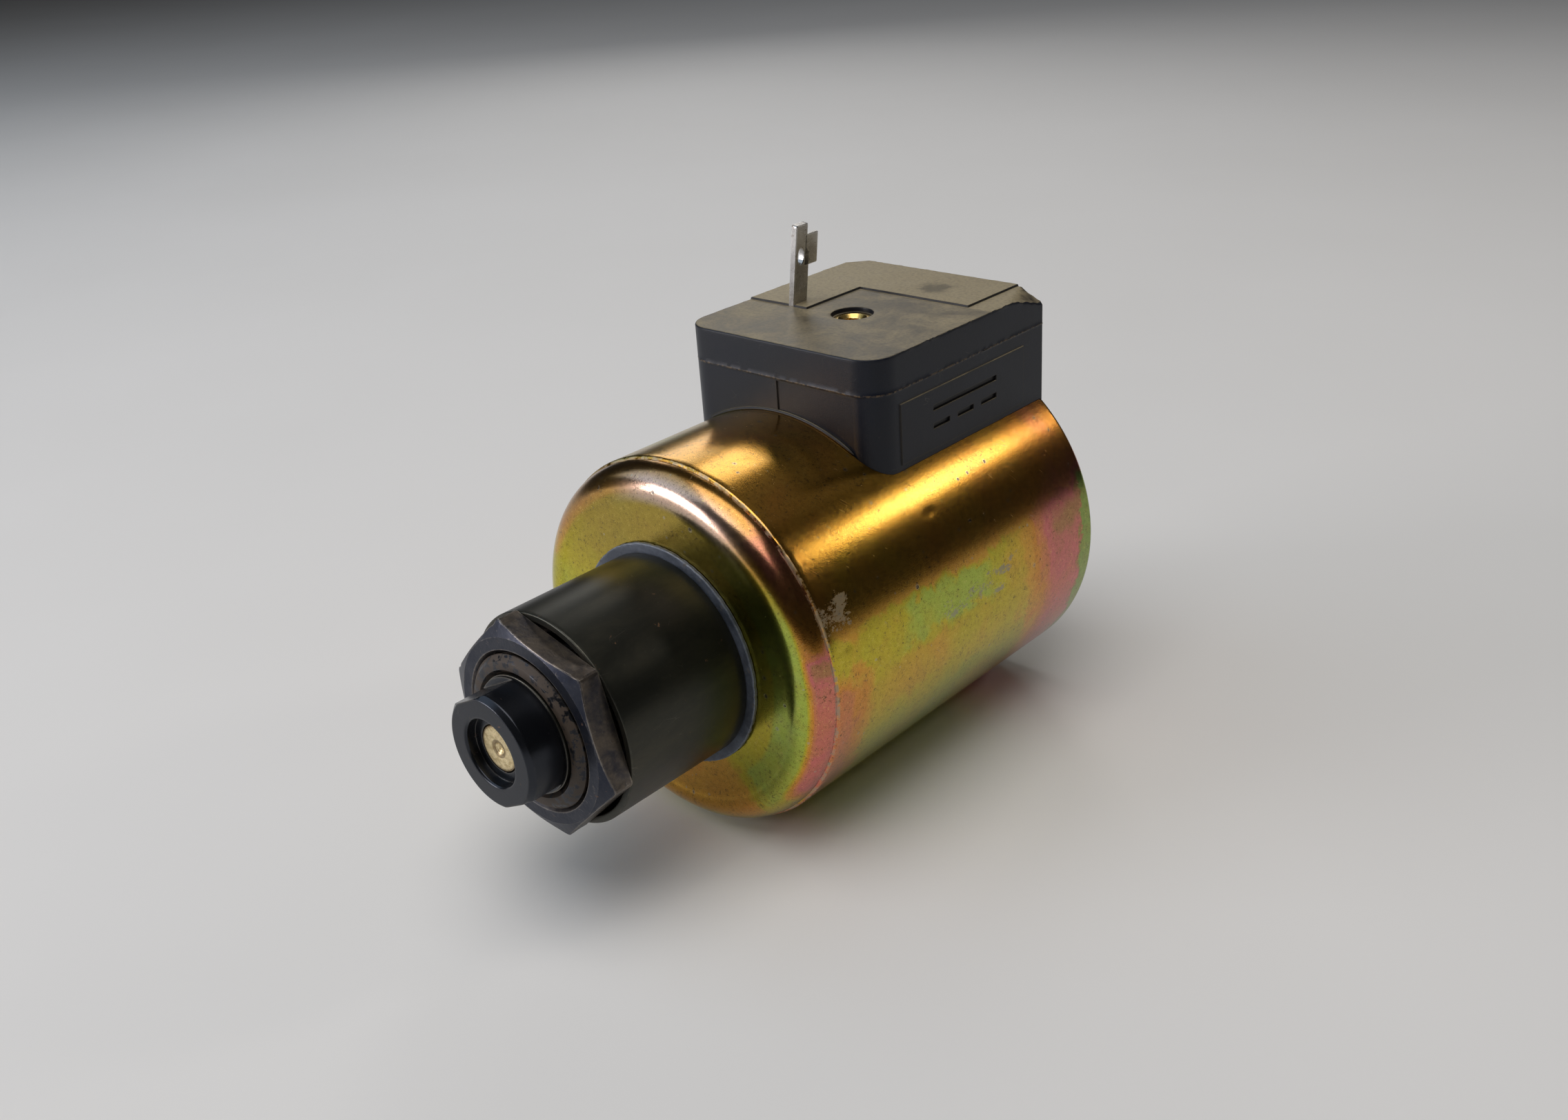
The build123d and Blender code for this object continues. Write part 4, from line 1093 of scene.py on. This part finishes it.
def insert_well():
    """Fills the square window round the insert: from the square's border to a circle, then down the well."""
    x_on = across[(across > INSERT_X - WINDOW - 0.01) & (across < INSERT_X + WINDOW + 0.01)]
    y_on = straight[(straight > INSERT_Y - WINDOW - 0.01) & (straight < INSERT_Y + WINDOW + 0.01)]
    left, right, front, rear = x_on[0], x_on[-1], y_on[0], y_on[-1]
    border = np.concatenate([
        np.stack([x_on[:-1], np.full(len(x_on) - 1, front)], -1),
        np.stack([np.full(len(y_on) - 1, right), y_on[:-1]], -1),
        np.stack([x_on[:0:-1], np.full(len(x_on) - 1, rear)], -1),
        np.stack([np.full(len(y_on) - 1, left), y_on[:0:-1]], -1),
    ])
    angle = np.arctan2(border[:, 1] - INSERT_Y, border[:, 0] - INSERT_X)
    circle = np.stack([np.cos(angle), np.sin(angle)], -1)
    centre = np.array([INSERT_X, INSERT_Y])
    rounded = INSERT_HOLE_R + 0.15
    rings = []
    for share in np.linspace(1, 0, 5):
        flat = share * border + (1 - share) * (centre + rounded * circle)
        rings.append(np.column_stack([flat, block_top(flat[:, 0], flat[:, 1])]))
    low, high = reach("brass_insert")
    insert_low, insert_top, insert_r = low[2], high[2], (high[0] - low[0]) / 2
    well = [(INSERT_HOLE_R + 0.04, TOP - 0.05), (INSERT_HOLE_R, TOP - 0.15), (INSERT_HOLE_R, insert_top),
            (insert_r, insert_top), (insert_r, insert_low), (0.0, insert_low)]
    for radius, height in well:
        flat = centre + radius * circle
        rings.append(np.column_stack([flat, np.full(len(flat), height)]))
    return patch(np.array(rings), wrap_columns=True)


print("well:", len(insert_well()[0]), "points")


# %% The moulding's jacket and bead
def jacket_patch():
    """The same moulding's sleeve round the winding, inside the can: a bevelled outline carried round."""
    low, high = reach("connector_block")
    outer, front, rear, inner = high[0], low[1], reach("rear_end_plate")[0][1] - 0.05, 18.45
    bevel = 1.9
    return spin([(inner, front), (outer - bevel, front), (outer, front + bevel), (outer, rear - bevel),
                 (outer - bevel, rear), (inner, rear)], 120)


def bead_patch():
    """A thin round bead where the moulding's front meets the can: a circle carried along the can's arc."""
    can_r, thick = reach("coil_can")[1][0], 0.2
    half_arc = np.arcsin((HALF - FRONT_ROUND) / can_r)
    along = np.linspace(-half_arc, half_arc, 90)[:, None] + np.pi / 2
    around = np.linspace(0, 2 * np.pi, 12, endpoint=False)
    size = thick * np.sqrt(np.clip(1 - (abs(along - np.pi / 2) / half_arc) ** 8, 0, 1))
    radius = can_r + 0.12 + size * np.cos(around)
    return patch(on_axis(radius, 0.02 - LENGTH + size * np.sin(around), along), wrap_columns=True)


make_piece("connector_moulding", block_patches() + [jacket_patch(), bead_patch()], "coil", "black_moulding",
           ["connector_block"], crease=28.0)

# %% [markdown]
# ## The contact blade and the brass insert
# The blade is a flat strip with an eye through its head. A flat plate with one hole is a ring: its outer
# line and its hole are joined by a face on each side, so one grid that goes round the hole closes it. The
# side flag and the buried foot are plain bars with rounded edges. The insert's thread is cut by letting
# its bore radius follow a triangle wave that moves one pitch along for each turn.


# %% Bars and threads
def bar(low, high, round_off=0.12):
    """Rounded rectangle carried up from low to high, drawn in at both ends and closed."""
    low, high = np.array(low, float), np.array(high, float)
    middle = (low + high)[:2] / 2
    corners = [low[:2], (high[0], low[1]), high[:2], (low[0], high[1])]
    outline = soften(corners, round_off)
    sizes = high[:2] - low[:2]
    rows = []
    for z, inset in [(low[2], None), (low[2], round_off), (low[2] + round_off, 0), (high[2] - round_off, 0),
                     (high[2], round_off), (high[2], None)]:
        shrink = 0 * sizes if inset is None else 1 - 2 * inset / sizes
        rows.append(np.column_stack([middle + (outline - middle) * shrink, np.full(len(outline), z)]))
    return patch(np.array(rows), wrap_columns=True)


def thread_wave(angle, along, pitch):
    """Triangle wave of 0 to 1 that moves one pitch along for each turn round."""
    return 2 * abs((along / pitch - angle / (2 * np.pi)) % 1 - 0.5)


print("a bar has", len(bar((0, 0, 0), (1, 1, 1))[0]), "points")


# %% The blade
BLADE_X, BLADE_Y, BLADE_THICK, BLADE_LEAN = -7.9, -19.6, 0.9, 7.5
BLADE_EDGE = 0.10


def lean(points):
    """Turns a blade standing at the origin by its lean, about the block's top, and puts it in its place."""
    angle = np.radians(BLADE_LEAN)
    x, y, z = points[..., 0], points[..., 1], points[..., 2] - TOP
    return np.stack([x * np.cos(angle) + z * np.sin(angle) + BLADE_X, y + BLADE_Y,
                     z * np.cos(angle) - x * np.sin(angle) + TOP], -1)


def blade_patches():
    """Plate, flag and foot. Each row of the plate's grid is one point of its outer line and the eye's
    point in the same direction, with both edges broken, so the grid goes through the eye and back."""
    low = reach("contact_blade")[0]
    width, head, shoulder_z, top_z, half = 2.5, 2.1, 37.6, 41.1, BLADE_THICK / 2
    rear = head - width / 2
    corners = [(-width / 2, TOP - 0.3), (width / 2, TOP - 0.3), (width / 2, shoulder_z),
               (rear, shoulder_z + 0.3), (rear, top_z), (-width / 2, top_z)]
    outer = refine(soften(corners, 0.25), 0.5, closed=True)
    along = np.roll(outer, -1, 0) - np.roll(outer, 1, 0)
    inward = np.stack([-along[:, 1], along[:, 0]], -1) / np.linalg.norm(along, axis=1)[:, None]
    eye = np.array([rear - head / 2, shoulder_z - 0.4])
    turn = np.arctan2(outer[:, 1] - eye[1], outer[:, 0] - eye[0])
    ring = np.stack([np.cos(turn), np.sin(turn)], -1)
    hole = eye + ring * (0.55, 1.05)
    e = BLADE_EDGE
    section = [(outer + e * inward, -half), (hole + e * ring, -half), (hole, e - half), (hole, half - e),
               (hole + e * ring, half), (outer + e * inward, half), (outer, half - e), (outer, e - half)]
    plate = np.stack([np.column_stack([np.full(len(flat), x), flat]) for flat, x in section], 1)
    flag_high, flag_wide, flag_low = 3.9, 1.9, top_z - 1.4 - 3.9
    flag, flag_faces = bar((half - 0.45, rear - 0.5, flag_low),
                           (half, rear + flag_wide, flag_low + flag_high), 0.1)
    foot = bar((BLADE_X - half, BLADE_Y - width / 2, low[2]),
               (BLADE_X + half, BLADE_Y + width / 2, TOP - 0.1), 0.1)
    return [patch(lean(plate), wrap_rows=True, wrap_columns=True), (lean(flag), flag_faces), foot]


make_piece("contact_blade_tinned", blade_patches(), "coil", "tinned_contact", ["contact_blade"])


# %% The insert
def insert_patches():
    """An outline of (radius, height) carried round, its bore between minor and major radius by the thread
    wave, then stood upright in the block's well."""
    low, high = reach("brass_insert")
    outer, top, foot = (high[0] - low[0]) / 2, high[2], low[2]
    major, minor, pitch = 1.5, 1.25, 0.5
    bore = np.arange(foot + 0.2, top - 0.35, pitch / 8)
    outline = np.concatenate([
        [(outer - 0.1, foot), (outer, foot + 0.1), (outer, top - 0.12), (outer - 0.12, top),
         (major + 0.25, top)],
        np.stack([np.full(len(bore), major), bore[::-1]], -1), [(major + 0.1, foot)],
    ])

    def cut(angle, radius, along):
        """The thread, only on the bore and clear of its ends."""
        deep = (along > foot + 0.1) & (along < top - 0.3) & (radius < major + 0.05)
        return np.where(deep, minor + (major - minor) * thread_wave(angle, along, pitch), radius)

    points, faces = spin(outline, 96, cut)
    upright = np.stack([points[:, 0] + INSERT_X, points[:, 2] + INSERT_Y, points[:, 1]], -1)
    return [(upright, faces)]


make_piece("brass_insert_threaded", insert_patches(), "coil", "insert_brass", ["brass_insert"])

# %% [markdown]
# ## The turned parts in front
# The gasket, spacer sleeve, tube neck, end plug and override pin are all lathe work: an outline carried
# round the axis. Where a flat is milled on a turned part, the radius is simply held to the flat's distance
# over the cosine of the angle from its middle. The nut is the same idea with six flats. Its front corners
# were turned off at a shallow angle, so its height there follows the radius and the familiar curved
# edges appear by themselves.


# %% Flats on round stock
def flats_radius(angle, across_flats, count, corner):
    """Distance from the axis to a polygon's side: half the flats over the cosine from the nearest middle."""
    wedge = 2 * np.pi / count
    from_middle = (angle - np.radians(corner)) % wedge - wedge / 2
    return across_flats / 2 / np.maximum(np.cos(from_middle), 0.05)


print("a 22 mm hexagon is", round(float(flats_radius(0.0, 22.0, 6, 0) * 2), 2), "mm over its corners")


# %% Gasket and sleeve
def ring_outline(node, inner, round_off):
    """Softened rectangle from a ring's bore to its box, as (radius, y)."""
    low, high = reach(node)
    return soften([(inner, low[1]), (high[0], low[1]), (high[0], high[1]), (inner, high[1])], round_off)


def ragged(angle, radius, y):
    """The gasket's cut edge: the outer radius less up to an eighth of a millimetre, where a field is
    above 0."""
    points = on_axis(radius, y, angle).reshape(-1, 3)
    tear = np.clip(ripple(points, 1.4, 21), 0, 1).reshape(radius.shape)
    return radius - 0.12 * tear * smooth_step(radius, 13.0, 13.4)


gasket_outline = refine(ring_outline("front_gasket", CAN_BORE_R, 0.12), 0.25, closed=True)
sleeve_outline = refine(ring_outline("spacer_sleeve", CAN_BORE_R, 0.18), 1.5, closed=True)
make_piece("gasket_ring", [spin(gasket_outline, 300, ragged)], "pole_tube", "gasket_grey", ["front_gasket"])
make_piece("sleeve_turned", [spin(sleeve_outline, 256)], "pole_tube", "black_oxide_steel", ["spacer_sleeve"])


# %% The nut
NUT_BORE_R, NUT_FLATS, NUT_TURN = 9.0, 22.0, -15.0


def nut_patches():
    """Columns of (radius, y), each a function of the angle: bore, face, turned-off corners, flats, rear.
    In front, y is the face's plus a slope times how far the side lies beyond the crown's radius."""
    low, high = reach("hex_nut")
    front, rear, bore = low[1], high[1], NUT_BORE_R
    crown_r, slope = NUT_FLATS / 2 - 0.2, 0.396
    angle = np.radians(NUT_TURN) + np.linspace(0, 2 * np.pi, 288, endpoint=False)
    corner_r = NUT_FLATS / 2 / np.cos(np.pi / 6) - 0.10
    side = np.minimum(flats_radius(angle, NUT_FLATS, 6, NUT_TURN), corner_r)
    edge_y = front + (side - crown_r) * slope
    columns = [(bore + 0 * angle, rear), (bore + 0 * angle, front + 0.4), (bore + 0.4, front)]
    columns += [(r, front) for r in np.linspace(bore + 0.55, crown_r, 5)]
    slant = side - crown_r
    columns += [(crown_r + slant * s, front + slant * s * slope) for s in (0.33, 0.66, 0.93)]
    columns += [(side - 0.02, edge_y + 0.03), (side, edge_y + 0.10)]
    columns += [(side, edge_y + (rear - 0.12 - edge_y) * s) for s in (0.25, 0.5, 0.75, 1.0)]
    columns += [(side - 0.04, rear - 0.03), (side - 0.14, rear), (bore + 0.8, rear)]
    radius = np.stack([r + 0 * angle for r, _ in columns], 1)
    y = np.stack([v + 0 * angle for _, v in columns], 1)
    points = on_axis(radius, y, angle[:, None])
    knocks = np.clip(ripple(points.reshape(-1, 3), 2.2, 31) - 0.25, 0, 1).reshape(radius.shape)
    radius = radius - 0.22 * knocks * smooth_step(radius, 11.2, 12.4)
    return [patch(on_axis(radius, y, angle[:, None]), wrap_rows=True, wrap_columns=True)]


make_piece("nut_hexagon", nut_patches(), "pole_tube", "worn_black_oxide", ["hex_nut"], crease=14.0)


# %% The tube with its neck
def tube_patches():
    """An outline of (radius, y) carried round: threaded neck, root, tube, and the stepped bore. On the
    neck the radius is the major radius less the depth times the thread wave, fading in from the front."""
    low, high = reach("guide_tube")
    front, rear, outer = low[1], high[1], high[0]
    neck, root, bore, chamber, chamber_front = 8.97, -66.06, 6.9, 9.0, -62.86
    pitch, depth = 1.0, 0.5
    turns = np.arange(front + 0.75, root - 0.5, pitch / 8)
    thread = np.stack([np.full(len(turns), neck), turns], -1)
    outline = np.concatenate([
        [(bore + 0.5, front), (neck - 0.72, front), (neck - 0.60, front + 0.06), (neck - 0.03, front + 0.62)],
        thread, [(neck - depth, root - 0.4), (neck - depth, root), (outer - 0.4, root), (outer, root + 0.4),
                 (outer, rear), (chamber, rear), (chamber, chamber_front), (bore, chamber_front),
                 (bore, front + 0.5)],
    ])

    def cut(angle, radius, y):
        """The neck's thread."""
        on = (y > front + 0.7) & (y < root - 0.4) & (abs(radius - neck) < 0.01)
        fade = smooth_step(y, front + 0.7, front + 1.4)
        return np.where(on, neck - depth * fade * thread_wave(angle, y, pitch), radius)

    return [spin(outline, 160, cut)]


make_piece("tube_and_neck", tube_patches(), "pole_tube", "tube_steel", ["guide_tube"])


# %% The end plug
PLUG_FLATS, PLUG_TURN = 12.0, 28.0


def plug_patches():
    """A lathe outline of (radius, y) carried round. In front, two wrench flats hold the radius down to
    the flats' distance over the cosine of the angle from their middle."""
    low, high = reach("end_plug")
    front, rear, tip_r, body_r, recess_r = low[1], high[1], 6.75, 6.87, 3.87
    floor_y, seat_y, pin_hole_r, seat_r, rim = front + 1.25, -70.05, 2.75, 3.8, 0.55
    neck_front = reach("guide_tube")[0][1]
    flat_rear = neck_front - 0.35
    corners = [(recess_r + 0.2, front), (tip_r - rim, front), (tip_r, front + rim), (tip_r, flat_rear - 0.03),
               (tip_r, flat_rear), (tip_r, neck_front), (body_r, neck_front), (body_r, rear), (seat_r, rear),
               (seat_r, seat_y), (pin_hole_r, seat_y), (pin_hole_r, floor_y), (recess_r, floor_y),
               (recess_r, front + 0.2)]
    outline = refine(soften(corners, 0.10, 3), 0.4, closed=True)

    def mill(angle, radius, y):
        """Two flats across the tip, outside the recess."""
        flat = np.minimum(flats_radius(angle, PLUG_FLATS, 2, PLUG_TURN), radius)
        return np.where((y < flat_rear + 0.01) & (radius > 5), flat, radius)

    return [spin(outline, 240, mill)]


make_piece("end_plug_milled", plug_patches(), "pole_tube", "black_oxide_steel", ["end_plug"], crease=26.0)


# %% The override pin
def pin_patches():
    """An outline of (radius, y) carried round, from the dimple's middle on the axis to the rear's middle."""
    low, high = reach("override_pin")
    front, rear, head_r, shank_r, inner_r = low[1], high[1], high[0], 2.69, 2.2
    step, head_rear = -70.03, -68.05
    dimple = [(0, front + 0.42), (0.35, front + 0.36), (0.62, front + 0.16), (0.80, front + 0.03)]
    face = [(0.95, front), (1.6, front + 0.015), (2.2, front)]
    rim = [(shank_r - 0.25, front + 0.01), (shank_r - 0.08, front + 0.06), (shank_r, front + 0.25)]
    head = [(shank_r, step), (head_r, step), (head_r, head_rear), (inner_r, head_rear)]
    return [spin(dimple + face + rim + head + [(inner_r, rear), (0, rear)], 128, closed=False)]


make_piece("override_pin_turned", pin_patches(), "override", "override_bronze", ["override_pin"])

# %% [markdown]
# ## The rear end
# From behind, the part shows the thick end plate with its seal, and the threaded nose that screws into
# the valve. The nose's thread is real geometry, since it tells how the part is fastened: the crest's
# radius falls and rises with the same thread wave as in the insert, but outside.


# %% The threaded nose
NOSE_R, NOSE_LENGTH, PILOT_R, NOSE_PITCH, NOSE_DEPTH = 11.0, 7.5, 9.6, 1.5, 0.85


def nose_patches():
    """An outline of (radius, y) carried round: the pole piece inside the tube, the thread, the pilot with
    its seal's groove, and the push pin's hole. The thread's crest falls away towards the pilot."""
    low, high = reach("pole_piece")
    front, rear, tube_r = low[1], high[1], high[0]
    pole_r, pole_rear, groove_r, groove = 8.98, -29.36, 8.1, (8.2, 10.0)
    wide_r, wide_rear, pin_r = 3.0, -23.36, 2.4
    turns = np.arange(0.5, NOSE_LENGTH - 0.2, NOSE_PITCH / 10)
    outline = np.concatenate([
        [(wide_r, front), (pole_r, front), (pole_r, pole_rear), (tube_r, pole_rear), (tube_r, -0.45),
         (NOSE_R - 0.05, 0.0)],
        np.stack([np.full(len(turns), NOSE_R), turns], -1),
        [(NOSE_R - NOSE_DEPTH, NOSE_LENGTH), (PILOT_R, NOSE_LENGTH + 0.02), (PILOT_R, groove[0]),
         (groove_r, groove[0]), (groove_r, groove[1]), (PILOT_R, groove[1]), (PILOT_R, rear - 0.45),
         (PILOT_R - 0.12, rear - 0.12), (PILOT_R - 0.45, rear), (pin_r + 0.2, rear), (pin_r, rear - 0.2),
         (pin_r, wide_rear), (wide_r, wide_rear)],
    ])

    def cut(angle, radius, y):
        """The nose's thread: the crest's radius less the depth times the thread wave."""
        on = (y > 0.4) & (y < NOSE_LENGTH - 0.1) & (abs(radius - NOSE_R) < 0.01)
        fade = smooth_step(y, 0.5, 1.6)
        fall = (y - NOSE_LENGTH + 0.7) * smooth_step(y, NOSE_LENGTH - 0.8, NOSE_LENGTH)
        end = np.minimum(radius, NOSE_R - fall)
        return np.where(on, end - NOSE_DEPTH * fade * thread_wave(angle, y, NOSE_PITCH), radius)

    return [spin(outline, 192, cut)]


make_piece("nose_threaded", nose_patches(), "pole_tube", "tube_steel", ["pole_piece"])


# %% End plate and push pin
SEAL_SEAT_R, SEAL_SEAT_DEPTH = 13.7, 1.4


def plate_patches():
    """A plain washer's outline carried round, with a step turned into its rear for the seal."""
    low, high = reach("rear_end_plate")
    (outer, rear), front = high[:2], low[1]
    outline = [(CAN_BORE_R, front), (outer, front), (outer, rear), (SEAL_SEAT_R + 0.15, rear),
               (SEAL_SEAT_R, rear - 0.15), (SEAL_SEAT_R, rear - SEAL_SEAT_DEPTH),
               (CAN_BORE_R, rear - SEAL_SEAT_DEPTH)]
    return [spin(outline, 200)]


def push_pin_patches():
    """A straight pin's outline carried round: bevelled in front, rounded behind in three steps."""
    low, high = reach("push_pin")
    (radius, rear), front = high[:2], low[1]
    outline = [(0.0, front), (radius - 0.3, front), (radius, front + 0.3), (radius, rear - 0.5),
               (radius - 0.06, rear - 0.25), (radius - 0.22, rear - 0.08), (radius - 0.5, rear), (0, rear)]
    return [spin(outline, 96, closed=False)]


make_piece("end_plate_turned", plate_patches(), "coil", "plated_washer_steel", ["rear_end_plate"])
make_piece("push_pin_ground", push_pin_patches(), "armature", "stainless_steel", ["push_pin"])

# %% [markdown]
# ## Floor
# The floor is a plain pale plane under the can. A faint cloud keeps it from looking like an empty page.


# %% Floor
def add_floor(half_size=2.5):
    """Four square cells at the can's lowest height, with a slow cloud of two pale greys."""
    w, shader, place = finish_of("pale_floor", 0.0, 0.2)
    cloud = w.noise(place[0], 0.01, 3.0)
    colour = w.mix(cloud, (0.80, 0.79, 0.775), (0.84, 0.83, 0.82))
    connect(w, shader, colour, w.band(cloud, 0.0, 1.0, 0.7, 0.8))
    z = reach("coil_can")[0][2] * MM
    side = np.linspace(-half_size, half_size, 3)
    x, y = np.meshgrid(side, side, indexing="ij")
    points, faces = patch(np.stack([x, y, np.full_like(x, z)], -1))
    mesh = bpy.data.meshes.new("floor")
    mesh.from_pydata(points, [], faces[:, ::-1])
    mesh.materials.append(FINISHES["pale_floor"])
    floor = bpy.data.objects.new("floor", mesh)
    bpy.context.scene.collection.objects.link(floor)


add_floor()
print("floor at", round(float(reach("coil_can")[0][2]), 3), "mm")

# %% [markdown]
# ## Open edges
# Any piece that isn't closed is named.

# %% Open edges, and the last line
print("pieces with open edges:", [name for name, count in open_edges_of.items() if count])
